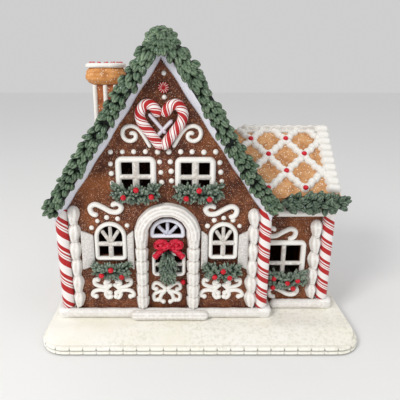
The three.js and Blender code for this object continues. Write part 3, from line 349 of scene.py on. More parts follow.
# Forms
class Form:
    """Closed shapes gathered into one mesh, with a guide of three numbers for each point."""

    def __init__(self):
        self.points, self.faces, self.guides, self.count = [], [], [], 0

    def add(self, points, faces, guides):
        self.faces += [tuple(i + self.count for i in face) for face in faces]
        self.points.append(points)
        self.guides.append(guides)
        self.count += len(points)


class Plane:
    """A wall's or slope's own frame: u along it, v up it and w out of it."""

    def __init__(self, origin, right, up):
        self.origin, self.right, self.up = (np.array(part, float) for part in (origin, right, up))
        self.out = np.cross(self.right, self.up)

    def place(self, points):
        u, v, w = np.split(np.asarray(points, float), 3, -1)
        return self.origin + u * self.right + v * self.up + w * self.out


def wall_plane(x, y, turn):
    angle = math.radians(turn)
    return Plane((x, y, 0), (math.cos(angle), math.sin(angle), 0), (0, 0, 1))


def slope_plane(ridge, turn, pitch):
    angle = math.radians(turn)
    away = np.array((math.sin(angle), -math.cos(angle), 0))
    up = np.array((0, 0, math.sin(pitch))) - away * math.cos(pitch)
    return Plane(ridge, (math.cos(angle), math.sin(angle), 0), up)


FRONT = wall_plane(HOUSE.x, HOUSE.front, 0)
BACK = wall_plane(HOUSE.x, HOUSE_BACK, 180)
LEFT = wall_plane(HOUSE.x - HOUSE.half, HOUSE_MIDDLE, -90)
ANNEX_FRONT = wall_plane(0, ANNEX.front, 0)
ANNEX_SIDE = wall_plane(ANNEX.side, RIDGE_Y, 90)
GROUND = Plane((0, 0, 0), (1, 0, 0), (0, 1, 0))


@functools.cache
def ring_faces(count, sides, closed):
    """Faces over rings of points, and their corners; open rows have a middle point at each end."""
    faces = []
    for i in range(count if closed else count - 1):
        near, far = i * sides, (i + 1) % count * sides
        for j in range(sides):
            k = (j + 1) % sides
            faces.append((near + j, near + k, far + k, far + j))
    first = count * sides
    for j in range(0 if closed else sides):
        k = (j + 1) % sides
        faces += [(first, k, j), (first + 1, first - sides + j, first - sides + k)]
    return faces, np.array([(*face, face[-1])[:4] for face in faces])


def skin(form, rings, guides, closed=False):
    """A skin over rings of points, its faces turned outwards: both arrays are rings by points by three."""
    faces, corners = ring_faces(*rings.shape[:2], closed)
    points, marks = (
        np.concatenate([grid.reshape(-1, 3)] + ([] if closed else [grid[:1].mean(1), grid[-1:].mean(1)]))
        for grid in (rings, guides)
    )
    a, b, c, d = (points[corners[:, i]] - points.mean(0) for i in range(4))
    volume = (a * np.cross(b, c)).sum() + (a * np.cross(c, d)).sum()
    form.add(points, faces if volume > 0 else [face[::-1] for face in faces], marks)


def plain_skin(form, plane, local, groove=0.0):
    """A skin given in a plane's frame, with the same guide all over unless groove says otherwise; groove is
    painted shade, as in a groove.
    """
    guides = np.zeros_like(local)
    guides[..., 0] = groove
    guides[..., 1] = 1
    skin(form, plane.place(local), guides)


def turns(sides):
    return np.arange(sides) / sides * TAU


def turn_guides(along, sides):
    """Guides for stripes: a number along, and the turn's cosine and sine."""
    return np.stack(np.broadcast_arrays(along, np.cos(turns(sides)), np.sin(turns(sides))), -1)


def ways_along(path):
    return np.concatenate([[0], np.cumsum(np.linalg.norm(np.diff(path, axis=0), axis=1))])


def picked(path, numbers, wanted):
    """Points of a path, found by numbers that grow along it."""
    return np.stack([np.interp(wanted, numbers, path[:, i]) for i in range(path.shape[1])], 1)


def even_path(points, spacing=1.0, closed=True):
    """Evenly spaced points along straight stretches between the given ones."""
    dense = np.array(points, float)
    if closed:
        dense = np.concatenate([dense, dense[:1]])
    ways = ways_along(dense)
    return picked(dense, ways, np.linspace(0, ways[-1], max(3, round(ways[-1] / spacing) + 1)))


def smooth_path(points, spacing=0.8):
    """Evenly spaced points on a smooth curve through the given ones."""
    knots = np.array(points, float)
    padded = np.concatenate([2 * knots[:1] - knots[1:2], knots, 2 * knots[-1:] - knots[-2:-1]])
    t = np.linspace(0, 1, 24, endpoint=False)[:, None]
    parts = [
        0.5 * (2 * b + (c - a) * t + (2 * a - 5 * b + 4 * c - d) * t**2 + (3 * b - a - 3 * c + d) * t**3)
        for a, b, c, d in zip(padded, padded[1:], padded[2:], padded[3:])
    ]
    return even_path(np.concatenate(parts + [knots[-1:]]), spacing, closed=False)


def path_part(path, start, end, count):
    """The stretch of a path between two shares of its length."""
    return picked(path, np.linspace(0, 1, len(path)), np.linspace(start, end, count))


def rounding(t, least=0.02):
    """Grows like a quarter circle while t goes from 0 to 1."""
    return np.sqrt(np.clip(1 - (1 - np.clip(t, 0, 1)) ** 2, least, 1))


def lumps(count, amount):
    return lambda t: 1 - amount * (0.5 + 0.5 * np.cos(TAU * count * t))


def sweep(path, across, out, size, closed=False):
    """Rings of points set across a path, as far aside as across times size, and out of the plane."""
    tangent = np.gradient(path, axis=0)
    if closed:
        tangent[0] = tangent[-1] = path[1] - path[-2]
    tangent /= np.linalg.norm(tangent, axis=1, keepdims=True)
    local = np.zeros((len(path), len(across), 3))
    local[..., 0] = path[:, None, 0] + tangent[:, None, 1] * across * size[:, None]
    local[..., 1] = path[:, None, 1] - tangent[:, None, 0] * across * size[:, None]
    local[..., 2] = out
    return local


def tube(form, plane, path, width, height, lift=SUNK, sides=14, under=0.15, swell=None, ribs=0, depth=0.1,
         closed=False, ends=True, striped=False, groove_shade=None, unshaded=1.0, end_reach=None):
    """A piped line along a path on a plane; the section is an ellipse with a flat back and may have ribs."""
    ways = ways_along(path)
    t = ways / ways[-1]
    size = swell(t) if swell else np.ones(len(path))
    if ends and not closed:
        size = size * rounding(np.minimum(ways, ways[-1] - ways) / (end_reach or min(width, ways[-1]) / 2))
    angle = turns(sides)
    ripple = 0.5 - 0.5 * np.cos(2 * ribs * angle)
    reach = 1 - depth * ripple
    rise = np.where(np.sin(angle) > 0, 1, under) * np.sin(angle) * height * reach
    local = sweep(path, np.cos(angle) * width / 2 * reach, lift + rise * size[:, None], size, closed)
    guides = np.zeros_like(local)
    if striped:
        guides[...] = turn_guides(ways[:, None], sides)
    else:
        # The first guide number is painted shade: between the ribs, and where an optional function along the
        # line asks for more
        guides[..., 0] = np.maximum(ripple, groove_shade(t)[:, None]) if groove_shade else ripple
        # The second number, below one, asks leaf materials for painted shade, as on a garland's core
        guides[..., 1] = unshaded
    last = -1 if closed else None
    skin(form, plane.place(local[:last]), guides[:last], closed)


SHELL_POINTS, SHELL_SIDES = 22, 28
# Painted shade in the seam at each shell's head: the share of the shell it covers and how dark it is
SEAM_SHARE, SEAM_SHADE = 0.16, 0.9


def shell_row(form, plane, path, count, width, height, pinch, depth, ribs=3, lap=0.3, lift=0.0, draw=None,
              head=0.2):
    """Ribbed shells piped one after another: each head lies on the tail of the one before."""

    def swell(t):
        tail = 1 - pinch * np.clip((t - head) / (1 - head), 0, 1) ** 1.2
        return rounding(t / head) * tail * rounding((1 - t) / 0.1, 0.03)

    # Painted shade where each shell's head lies on the one before
    def shell_seam_shade(t):
        return np.clip(1 - t / SEAM_SHARE, 0, 1) * SEAM_SHADE

    for i in range(count):
        part = path_part(path, i / count, min(1.0, (i + 1 + lap) / count), SHELL_POINTS)
        grown = 1 + (draw.uniform(-0.06, 0.06) if draw else 0)
        tube(form, plane, part, width * grown, height * grown, lift, SHELL_SIDES, swell=swell, ribs=ribs,
             depth=depth, ends=False, groove_shade=shell_seam_shade)


def lathe(sides, profile, centre):
    """Rings of points round a centre, from pairs of radius and height."""
    around = np.stack([np.cos(turns(sides)), np.sin(turns(sides)), np.ones(sides)], 1)
    return np.array([around * (reach, reach, high) for reach, high in profile]) + np.array(centre, float)


def dome(form, plane, u, v, radius, height, lift=SUNK):
    parts = np.array((0.0, 0.12, 0.35, 0.6, 0.82, 0.95)) * math.pi / 2
    profile = [(radius * math.cos(part), height * math.sin(part)) for part in parts]
    # The dot's foot ring gets painted shade where it meets the wall
    plain_skin(form, plane, lathe(14, profile, (u, v, lift)), [[0.5]] + [[0]] * 5)


def ball(form, centre, radius, squash=1.0, sides=14):
    parts = np.linspace(-0.45, 0.45, 9) * math.pi
    profile = [(radius * math.cos(part), radius * squash * math.sin(part)) for part in parts]
    plain_skin(form, GROUND, lathe(sides, profile, centre))


def aimed(plane, at, turn, tilt):
    """A point of a plane, and three axes at a direction there: across, along and out."""
    turn, tilt = math.radians(turn), math.radians(tilt)
    flat = math.cos(turn) * plane.right + math.sin(turn) * plane.up
    along = math.cos(tilt) * flat + math.sin(tilt) * plane.out
    across = np.cross(along, plane.out)
    across /= np.linalg.norm(across)
    return plane.place(at), across, along, np.cross(across, along)


LEAF_SIDE = np.concatenate([np.linspace(1, -1, 9), np.linspace(-0.8, 0.8, 5)])
LEAF_TOP = np.repeat([1.0, 0.0], [9, 5])


def leaf(form, plane, at, turn, tilt, long, wide, thick, arch, shade=1.0):
    """An almond leaf with a sunk middle vein and side veins; arch bends its tip down."""
    base, across, along, out = aimed(plane, at, turn, tilt)
    t = np.linspace(0.03, 0.985, 11)[:, None]
    side = np.abs(LEAF_SIDE)
    half = wide / 2 * np.sin(math.pi * t**0.9) ** 0.52 + 0.1
    rise = arch * long * (np.sin(math.pi * 0.62 * t) - 0.75 * t**2)
    round_over = np.sqrt(np.clip(1 - side**2, 0, 1))
    vein = np.exp(-((side / 0.16) ** 2))
    ribs = 0.12 * np.cos(t * long * 2.6 - side * 3.4)
    lobes = (0.75 + 0.25 * side**0.5 - 0.42 * vein) * round_over
    height = thick * np.where(LEAF_TOP > 0, lobes, -0.35 * round_over)
    body = np.sin(math.pi * np.clip(t, 0.08, 0.95)) ** 0.4
    z = height * body * (1 + ribs * LEAF_TOP) + rise
    flat = (LEAF_SIDE * half)[..., None] * across + (t * long)[..., None] * along
    points = base + flat + z[..., None] * out
    edge = side**3 * 0.2 + 0.6 * t**2.5 + 0.42 * (1 - vein) * round_over**2
    guides = np.zeros_like(points)
    guides[..., 0] = np.clip(edge, 0, 1) * LEAF_TOP * 0.8 * shade
    # The second number falls towards the leaf's base and on its underside, where painted shade goes
    guides[..., 1] = np.clip(t * 1.5, 0, 1) * (1 - 0.5 * side**6) * (0.2 + 0.8 * LEAF_TOP)
    guides[..., 2] = abs(math.sin(12.9 * base[0] + 78.2 * base[1] + 37.7 * base[2]))
    skin(form, points, guides)


NEEDLE_PLACES = np.array([0.0, 0.25, 0.55, 0.8, 0.93, 1.0])
NEEDLE_SIZES = np.array([0.75, 1.0, 1.0, 0.85, 0.55, 0.2])


def needle(form, plane, at, turn, tilt, long, radius, frost, bend):
    """A blunt needle, frosted towards its tip."""
    base, across, along, out = aimed(plane, at, turn, tilt)
    angle = turns(7)
    t = NEEDLE_PLACES[:, None]
    ring = np.cos(angle)[:, None] * across + np.sin(angle)[:, None] * out
    centre = base + t * long * along - bend * long * t**2 * out
    points = centre[:, None] + (radius * NEEDLE_SIZES)[:, None, None] * ring
    guides = np.zeros_like(points)
    guides[..., 0] = np.clip(t - 0.35, 0, 1) * 1.3 * frost * (0.6 + 0.4 * np.sin(angle))
    # The second number is low at the needle's base, where painted shade goes
    guides[..., 1] = np.clip(0.15 + t * 1.4, 0, 1)
    skin(form, points, guides)


def around(u, v, degrees, wide, high=None):
    """The point of a circle or ellipse round (u, v) at an angle."""
    angle = math.radians(degrees)
    return u + wide * math.cos(angle), v + (high or wide) * math.sin(angle)


def rounded_outline(half_x, half_y, radius, steps=10):
    return np.array([
        around(sx * (half_x - radius), sy * (half_y - radius), start + 90 * i / steps, radius)
        for sx, sy, start in ((1, -1, -90), (1, 1, 0), (-1, 1, 90), (-1, -1, 180)) for i in range(steps + 1)
    ])


def box_outline(left, right, low, high):
    return [(left, low), (right, low), (right, high), (left, high)]


def arch_outline(u, half, low, spring, steps=24):
    return [(u - half, low), (u + half, low)] + [
        around(u, spring, 180 * i / steps, half) for i in range(steps + 1)
    ]


def smooth_corners(outline, radius, steps=5, corners=4):
    """The outline with its first few corners rounded off."""
    outline = np.array(outline, float)
    points = []
    for i, at in enumerate(outline[:corners]):
        before, after = outline[i - 1], outline[(i + 1) % len(outline)]
        first, last = (at + (far - at) / np.linalg.norm(far - at) * radius for far in (before, after))
        for t in np.arange(steps + 1) / steps:
            points.append((1 - t) ** 2 * first + 2 * t * (1 - t) * at + t**2 * last)
    return np.array(points + list(outline[corners:]))


def raised(outline, height):
    return np.column_stack([outline, np.full(len(outline), float(height))])


def slab(form, plane, outline, levels, shift=(0, 0)):
    """A slab with soft edges: outline(inset) gives its edge, levels are pairs of inset and height."""
    rings = [raised(outline(inset) + np.array(shift), height) for inset, height in levels]
    plain_skin(form, plane, np.array(rings))


def dressed(made, nodes):
    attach(made, "root")
    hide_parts(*nodes)


def piece(name, form, material, nodes, smooth=True):
    """The form as a mesh object that rides on the one body and stands for the nodes."""
    mesh = bpy.data.meshes.new(name)
    mesh.from_pydata((np.concatenate(form.points) * MM).tolist(), [], form.faces)
    guide = mesh.attributes.new("guide", "FLOAT_VECTOR", "POINT")
    guide.data.foreach_set("vector", np.concatenate(form.guides).astype(np.float32).ravel())
    mesh.materials.append(material)
    mesh.update()
    if smooth:
        mesh.shade_smooth()
    dressed(linked(name, mesh), nodes)


def repaint(material, *nodes):
    """Gives nodes of the solids, which stay in view, a material of the scene."""
    for node in nodes:
        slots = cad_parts[node].data.materials
        slots.clear()
        slots.append(material)


# Walls and windows
# How far cuts through a wall reach in front of its plane and behind it
CUT = (10, -20)


def prism_object(name, plane, outlines, near, far):
    """Closed prisms on a wall's plane, as one object."""
    points, faces, start = [], [], 0
    for outline in outlines:
        count = len(outline)
        points += [raised(outline, far), raised(outline, near)]
        sides = [(i, (i + 1) % count, count + (i + 1) % count, count + i) for i in range(count)]
        caps = [range(count)[::-1], range(count, 2 * count)]
        faces += [tuple(i + start for i in face) for face in caps + sides]
        start += 2 * count
    mesh = bpy.data.meshes.new(name)
    mesh.from_pydata((plane.place(np.concatenate(points)) * MM).tolist(), [], faces)
    whole = bmesh.new()
    whole.from_mesh(mesh)
    bmesh.ops.recalc_face_normals(whole, faces=whole.faces)
    whole.to_mesh(mesh)
    whole.free()
    return linked(name, mesh)


def wall_panel(name, plane, outline, holes, nodes, face=0, thick=HOUSE.wall):
    """A gingerbread wall with its openings cut through."""
    panel = prism_object(name, plane, [outline], face, face - thick)
    cutter = prism_object("cutter", plane, holes, *CUT)
    cut = panel.modifiers.new("cut", "BOOLEAN")
    cut.operation, cut.solver, cut.object = "DIFFERENCE", "EXACT", cutter
    bpy.context.view_layer.update()
    done = bpy.data.meshes.new_from_object(panel.evaluated_get(bpy.context.evaluated_depsgraph_get()))
    panel.modifiers.clear()
    panel.data = done
    bpy.data.objects.remove(cutter)
    done.materials.clear()
    done.materials.append(GINGERBREAD)
    dressed(panel, nodes)


UPPER_WINDOWS = {"left": dict(u=-25.4, low=148, high=185), "right": dict(u=30.6, low=148, high=184.6)}
LOWER_WINDOWS = {
    "left": dict(u=-52.4, half=15.9, spring=104.6, low=79.8),
    "right": dict(u=58.6, half=14.6, spring=105.6, low=81),
}
ANNEX_WINDOW = dict(u=87.7, low=46, high=93.6)
DOOR_WINDOW = dict(u=DOOR.u + 1, low=60.6, high=87.2)
SIDE_WINDOW = dict(low=72, high=112)
UPPER_PANE = dict(half=19.2, frame=5.7, mullion=6.6, bar=5, above=11.4)
ANNEX_PANE = dict(half=23.1, frame=5.6, mullion=4.8, bar=4.6, above=17.8)
DOOR_PANE = dict(half=17.2, frame=4.2, mullion=4, bar=3.4, above=7.6)
ARCHED_FRAME = Sizes(width=4.4, sill=4.6, mullion=5, ray=3.6, below=5)
RAY_TURNS = (90, 49, 131)
# How much smaller a wall's opening is than its window, all round
REBATE = Sizes(square=4.7, arched=3.6, side=5)


def bar(form, plane, start, end, width, height, lift=GAP):
    """A straight line of icing with a full, soft section."""
    tube(form, plane, smooth_path([start, end], 1.4), width, height, lift, 16, under=0.0, ribs=1, depth=0.0)


def square_window(form, plane, u, low, high, pane, lift=GAP, height=WINDOW_OUT - GAP):
    half, width = pane["half"], pane["frame"]
    outline = rounded_outline(half - width / 2, (high - low) / 2 - width / 2, 3.2, 6)
    path = even_path(outline + np.array((u, (low + high) / 2)))
    tube(form, plane, path, width, height, lift, 16, under=0.0, closed=True)
    split = high - width - pane["above"] - pane["bar"] / 2
    bar(form, plane, (u - half + 2, split), (u + half - 2, split), pane["bar"], 0.9 * height, lift)
    bar(form, plane, (u, low + 1.5), (u, high - 1.5), pane["mullion"], 0.82 * height, lift)


def arched_window(form, plane, u, half, spring, low):
    width, height = ARCHED_FRAME.width, WINDOW_OUT - GAP
    reach = half - width / 2
    outline = arch_outline(u, reach, low + width / 2, spring, 18)
    path = even_path(smooth_corners(outline, 2.2, 4, 2))
    tube(form, plane, path, width, height, GAP, 16, under=0.0, closed=True)
    sill = spring - ARCHED_FRAME.below
    bar(form, plane, (u - half + 2, sill - 2.2), (u + half - 2, sill - 2.2), ARCHED_FRAME.sill, height)
    bar(form, plane, (u, low + 2), (u, sill - 1), ARCHED_FRAME.mullion, 0.85 * height)
    for turn in RAY_TURNS:
        tip = around(u, sill - 1, turn, reach - 0.5, reach + 4)
        bar(form, plane, (u, sill - 1), tip, ARCHED_FRAME.ray, 0.9 * height)


def make_windows():
    panes = {"window_upper_" + name: (FRONT, place, UPPER_PANE) for name, place in UPPER_WINDOWS.items()}
    panes.update({"window_lower_" + name: (FRONT, place, None) for name, place in LOWER_WINDOWS.items()})
    panes["window_annex"] = (ANNEX_FRONT, ANNEX_WINDOW, ANNEX_PANE)
    for name, (plane, place, pane) in panes.items():
        form = Form()
        if pane:
            square_window(form, plane, **place, pane=pane)
        else:
            arched_window(form, plane, **place)
        piece(name + "_frame", form, ICING, [name])


# Piped scrolls, as points set out from a middle
S_SCROLL = [
    (-8.6, -5.4), (-11.4, -7), (-15.2, -4.4), (-16, 1.2), (-10.6, 4.2), (-2.6, 0.8), (5, -3.6), (12.4, -3.8),
    (16, 0.8), (13, 5), (7.8, 4.2), (8.4, 1.4),
]
CURL_MIDDLE = -0.6
CURL = [
    (-10.2, 193.2), (-17.9, 206.2), (-22.9, 211.4), (-28.7, 213), (-34.1, 211), (-36, 206.2), (-34, 201.2),
    (-28.9, 199.2), (-24.4, 201.4), (-24.2, 205.4), (-27.4, 206.6), (-28.8, 204.6),
]
LACE = [
    [(3.4, 3.2), (8, 1.6), (12.6, 2.6), (17.2, 5.2), (17.4, 9.6), (14.2, 10.2)],
    [(3.4, 3.2), (7.2, 5.4), (6, 8.8), (4.4, 8.6)],
    [(4, -4), (8.2, -2.4), (13, -1.6), (18.4, -3.2), (20.2, -7.4), (16.8, -9)],
    [(6, -2.6), (7.4, -6.6), (5, -10.4), (2.6, -9.2)],
    [(0.4, 5.2), (3.8, 2.4), (6.6, -1.6), (3.2, -5)],
]
DOOR_LACE = [
    [(0, 0), (4.4, 3.4), (9, 6.2), (13.4, 5.8), (14.6, 1.8), (11.4, 0.6)],
    [(0, 0), (3.6, -1.4), (9, -2.2), (14, -4.8), (13.4, -9.6), (9.4, -9.8)],
    [(1.4, -1), (5.6, -4.6), (7.2, -9.4), (3.8, -11.6)],
]
# Rows of dots: the first one's place, the step to the next and their number
DOT_ROWS = [
    ((-48.3, 189), (10.85, 0), 10), ((-49, 177.5), (0.3, -9), 3), ((-2.8, 179.2), (0.8, -9.6), 3),
    ((7, 179.4), (0.5, -9), 3), ((53.2, 178.7), (1.2, -8.8), 3), ((1.8, 259), (0.2, -20.4), 2),
]
# Dots over the lower windows: the arc's radius and the dots' angles
DOT_ARCS = {"left": (20.6, (36, 68, 98, 126, 152)), "right": (18.9, (34, 61, 90, 119, 146))}
DOT_RADIUS = 2.5
SCROLL_SCALE = 0.94


def set_out(points, u, v, side=1, wide=1.0, high=1.0):
    """The points scaled, turned to a side and moved to (u, v)."""
    return [(u + side * wide * x, v + high * y) for x, y in points]


def scroll(form, plane, u, v, side):
    path = smooth_path(set_out(S_SCROLL, u, v, side, SCROLL_SCALE, SCROLL_SCALE))
    tube(form, plane, path, 5.2, 3.6, sides=16)


def lace(form, plane, u, v, wide=1.0, high=1.0, lift=0.0, arms=LACE, width=4.4):
    for arm in arms:
        for side in (-1, 1):
            points = set_out(arm, u, v, side, wide, high)
            tube(form, plane, smooth_path(points, 0.7), width, 2.8, lift + SUNK)
            dome(form, plane, *points[-1], 0.62 * width, 3.3, lift + SUNK)


def wall_dots(form, plane, draw):
    for start, step, count in DOT_ROWS:
        for i in range(count):
            u, v = (start[k] + step[k] * i + draw.uniform(-0.3, 0.3) for k in (0, 1))
            dome(form, plane, u, v, DOT_RADIUS * draw.uniform(0.9, 1.08), 2.5)
    for name, (arc, angles) in DOT_ARCS.items():
        window = LOWER_WINDOWS[name]
        for turn in angles:
            u, v = around(window["u"], window["spring"] - 0.5, turn, arc)
            dome(form, plane, u, v, DOT_RADIUS * draw.uniform(0.9, 1.05), 2.4)


def gable_outline(half, edge, peak):
    return [(-half, FLOOR), (half, FLOOR), (half, edge), (0, peak), (-half, edge)]


HOUSE_GABLE = gable_outline(HOUSE.half, roof_line(HOUSE.half, -GAP), roof_line(0, -GAP))


def make_front_wall():
    holes = [arch_outline(DOOR.u, DOOR.half + GAP, FLOOR + 4, DOOR.spring)]
    reach = UPPER_PANE["half"] - UPPER_PANE["frame"] + 1
    for window in UPPER_WINDOWS.values():
        u, low, high = window["u"], window["low"] + REBATE.square, window["high"] - REBATE.square
        holes.append(box_outline(u - reach, u + reach, low, high))
    for window in LOWER_WINDOWS.values():
        half, low = window["half"] - REBATE.arched, window["low"] + REBATE.arched
        holes.append(arch_outline(window["u"], half, low, window["spring"]))
    wall_panel("front_wall_panel", FRONT, HOUSE_GABLE, holes, ["front_wall"])
    icing = Form()
    wall_dots(icing, FRONT, random.Random(3))
    scroll(icing, FRONT, -55.6, 134, 1)
    scroll(icing, FRONT, 55.8, 131.8, -1)
    for side in (1, -1):
        tube(icing, FRONT, smooth_path(set_out(CURL, CURL_MIDDLE, 0, side), 0.7), 4, 3)
    for u in (-52.6, 58.5):
        lace(icing, FRONT, u, 47.4, 1.05)
    piece("front_wall_icing", icing, ICING, ["front_wall"])


def make_hidden_walls():
    """The sides and the back: plain panels with windows, dots and scrolls of the front's kind."""
    side_half = HOUSE.depth / 2 - HOUSE.wall - GAP
    side_outline = box_outline(-side_half, side_half, FLOOR, roof_line(HOUSE.half, -2 * GAP))
    reach = ANNEX_RUN - HOUSE.wall - GAP
    annex_gable = gable_outline(reach, annex_roof_line(reach, -GAP), annex_roof_line(0, -GAP))
    low, high = SIDE_WINDOW["low"], SIDE_WINDOW["high"]
    for name, plane, outline, windows, scrolls, laces in (
        ("back_wall", BACK, HOUSE_GABLE, (-38, 38), ((-38, 128), (38, 128), (0, 190)), ((0, 76),)),
        ("left_wall", LEFT, side_outline, (0,), ((-36, 118), (36, 118)), ((-38, 62), (38, 62))),
        ("annex_side_wall", ANNEX_SIDE, annex_gable, (0,), ((0, 135),), ((0, 52),)),
    ):
        holes = [box_outline(u - 14, u + 14, low + REBATE.side, high - REBATE.side) for u in windows]
        wall_panel(name + "_panel", plane, outline, holes, [name])
        icing = Form()
        for u in windows:
            square_window(icing, plane, u, low, high, UPPER_PANE, lift=-GAP)
            for turn in range(0, 181, 30):
                dome(icing, plane, *around(u, high - 4, turn, 25, 18), 2.3, 2.4)
        for i, (u, v) in enumerate(scrolls):
            scroll(icing, plane, u, v, 1 if i % 2 else -1)
        for u, v in laces:
            lace(icing, plane, u, v)
        piece(name + "_icing", icing, ICING, [name])
    repaint(GINGERBREAD, "right_wall", "annex_back_wall")


def make_annex_front():
    inner, foot = HOUSE_RIGHT + GAP, HOUSE.x + PLINTH.side + GAP
    top = annex_roof_line(ANNEX_RUN, -GAP)
    side = ANNEX.side
    outline = [(foot, FLOOR), (side, FLOOR), (side, top), (inner, top), (inner, LEDGE), (foot, LEDGE)]
    u, low, high = ANNEX_WINDOW["u"], ANNEX_WINDOW["low"] + REBATE.side, ANNEX_WINDOW["high"] - REBATE.side
    reach = ANNEX_PANE["half"] - REBATE.side
    holes = [box_outline(u - reach, u - 2, low, high), box_outline(u + 2, u + reach, low, high)]
    wall_panel("annex_front_panel", ANNEX_FRONT, outline, holes, ["annex_front_wall"])
    icing = Form()
    scroll(icing, ANNEX_FRONT, 83.5, 101.8, -1)
    scroll(icing, ANNEX_FRONT, 90, 34.6, 1)
    strip = smooth_path([(inner + 8, top - 19.8), (ANNEX.end, top - 19.4)], 1.5)
    tube(icing, ANNEX_FRONT, strip, 11, 9.4, -0.5, 18, under=0.0, end_reach=2)
    piece("annex_front_icing", icing, ICING, ["annex_front_wall"])


SHUTTER = Sizes(low=74.6, high=106.6, slant=5, thick=3.4)
# Each shutter's edge beside the window and its far edge
SHUTTERS = {
    "outer_left": (-68.9, -81.2), "inner_left": (-36, -29.6),
    "inner_right": (43.4, 37), "outer_right": (73.7, 83.4),
}


def make_shutters():
    low, high, slant, thick = vars(SHUTTER).values()
    levels = [(0.6, 0), (0, 0.6), (0, thick - 1), (0.35, thick - 0.4), (1.1, thick)]
    for name, (inner, outer) in SHUTTERS.items():
        corners = [(inner, low), (outer, low - slant), (outer, high + slant), (inner, high)]
        centre = np.mean(corners, 0)
        away = smooth_corners(corners, 1.6) - centre
        reach = np.linalg.norm(away, axis=1, keepdims=True)
        form = Form()
        slab(form, FRONT, lambda inset: centre + away * (1 - inset / reach),
             [(inset, GAP + out) for inset, out in levels])
        piece("shutter_" + name + "_board", form, WEAVE, ["shutter_" + name])


# Doorway
def arch_path():
    u, reach, spring = DOOR.u, DOOR.arch, DOOR.spring
    leg = (LEDGE, (LEDGE + spring) / 2)
    over = [around(u, spring, 180 - 15 * i, reach) for i in range(13)]
    return smooth_path([(u - reach, v) for v in leg] + over + [(u + reach, v) for v in leg[::-1]], 1.0)


# Shares of the arch's path where its legs end, and how the fanlight lies over the door's window
ARCH_LEGS = (0.335, 0.665)
FANLIGHT = Sizes(low=102.2, half=15.6, high=13.4, foot=2.2, spring=5.6)


def make_doorway():
    draw = random.Random(12)
    arch = Form()
    line = arch_path()
    first, last = ARCH_LEGS
    for leg in (path_part(line, 0, first, 90)[::-1], path_part(line, last, 1, 90)):
        shell_row(arch, FRONT, leg, 6, 13.6, 9.4, 0.14, 0.17, ribs=4, lap=0.1, lift=GAP, draw=draw, head=0.26)
    over = path_part(line, first - 0.03, last + 0.03, 120)
    tube(arch, FRONT, over, 14.2, 10.2, GAP, 40, ribs=5, depth=0.13, swell=lumps(7, 0.05), end_reach=3)
    piece("door_arch_shells", arch, RIBBED, ["door_arch"])

    u, window = DOOR.u, DOOR_WINDOW
    reach = DOOR_PANE["half"] - DOOR_PANE["frame"] / 2
    holes = [box_outline(window["u"] - reach, window["u"] + reach, window["low"] + 2, window["high"] - 2)]
    curve = [around(u, 107, turn, 15, 13) for turn in range(0, 181, 15)]
    holes.append([(u - 15, 106), (u + 15, 106)] + curve)
    shape = arch_outline(u, DOOR.half, FLOOR + 4 + GAP, DOOR.spring)
    wall_panel("door_panel", FRONT, shape, holes, ["door"], DOOR_FACE, 3)
    icing = Form()
    lace(icing, FRONT, u - 1.4, 44.4, 0.96, 1.2, DOOR_FACE, DOOR_LACE, 4.2)
    piece("door_scroll", icing, ICING, ["door"])
    knob = Form()
    ball(knob, FRONT.place((u + 15.4, 53.6, DOOR_FACE + 1.4)), 2.6)
    piece("door_knob", knob, BERRY, ["door"])

    light = Form()
    low, half, high, foot, spring = vars(FANLIGHT).values()
    curve = [around(u, low + spring, turn, half, high) for turn in range(0, 181, 12)]
    outline = [(u - half, low + foot), (u + half, low + foot)] + curve[1:-1]
    path = even_path(smooth_corners(outline, 1.4, 4, 2))
    tube(light, FRONT, path, 4.4, 3.4, DOOR_FACE + GAP, under=0.0, closed=True)
    for turn in (90, 46, 134):
        bar(light, FRONT, (u, low + 3), around(u, low + 4, turn, 14, 13), 3.4, 3.2, DOOR_FACE + GAP)
    dome(light, FRONT, u, low + 4.4, 4.2, 3.2, DOOR_FACE)
    # The fanlight's icing is the bluish copy with painted shade
    piece("fanlight_frame", light, SHADED_ICING, ["fanlight"])
    pane = Form()
    square_window(pane, FRONT, **window, pane=DOOR_PANE, lift=DOOR_FACE + GAP, height=3.6)
    piece("door_window_frame", pane, ICING, ["door_window"])


BOW_AT = (4.8, 96.6)
# The bow's lines for one side: points, width, height and further settings of the line
BOW_LINES = [
    ([(1, 1.5), (5, 3.6), (9, 3.4), (12, 2), (12.8, -1.2), (9.6, -2.8), (5, -2.2), (1, -1)], 4.6, 5.2,
     dict(under=0.1, swell=lumps(5, 0.16))),
    ([(1, 0.4), (6, 1), (11, 0.4)], 4.6, 4.2, dict(under=0.1)),
    ([(1.5, -2), (8, -7.4), (15, -14.6)], 6.6, 3.2, dict(under=0.2, swell=lumps(4, 0.12), end_reach=1.5)),
]


def make_bow():
    u, v = BOW_AT
    bow = Form()
    draw = random.Random(8)
    for side in (-1, 1):
        for points, width, height, settings in BOW_LINES:
            path = smooth_path(set_out(points, u, v, side), 0.7)
            tube(bow, FRONT, path, width, height, DOOR_OUT, **settings)
    for _ in range(30):
        side = draw.choice((-1, 1))
        x, y = side * draw.uniform(2, 13), draw.uniform(-2.6, 3.6)
        spot = FRONT.place((u + x, v + y, DOOR_OUT + 3.4 + draw.uniform(-0.6, 0.9)))
        ball(bow, spot, draw.uniform(0.7, 1.3), sides=8)
    ball(bow, FRONT.place((u, v, DOOR_OUT + 3)), 3.4)
    piece("door_bow_ribbon", bow, RIBBON, ["door_bow"])


SWAG = Sizes(u=4.2, top=93, low=51.6, needles=210)


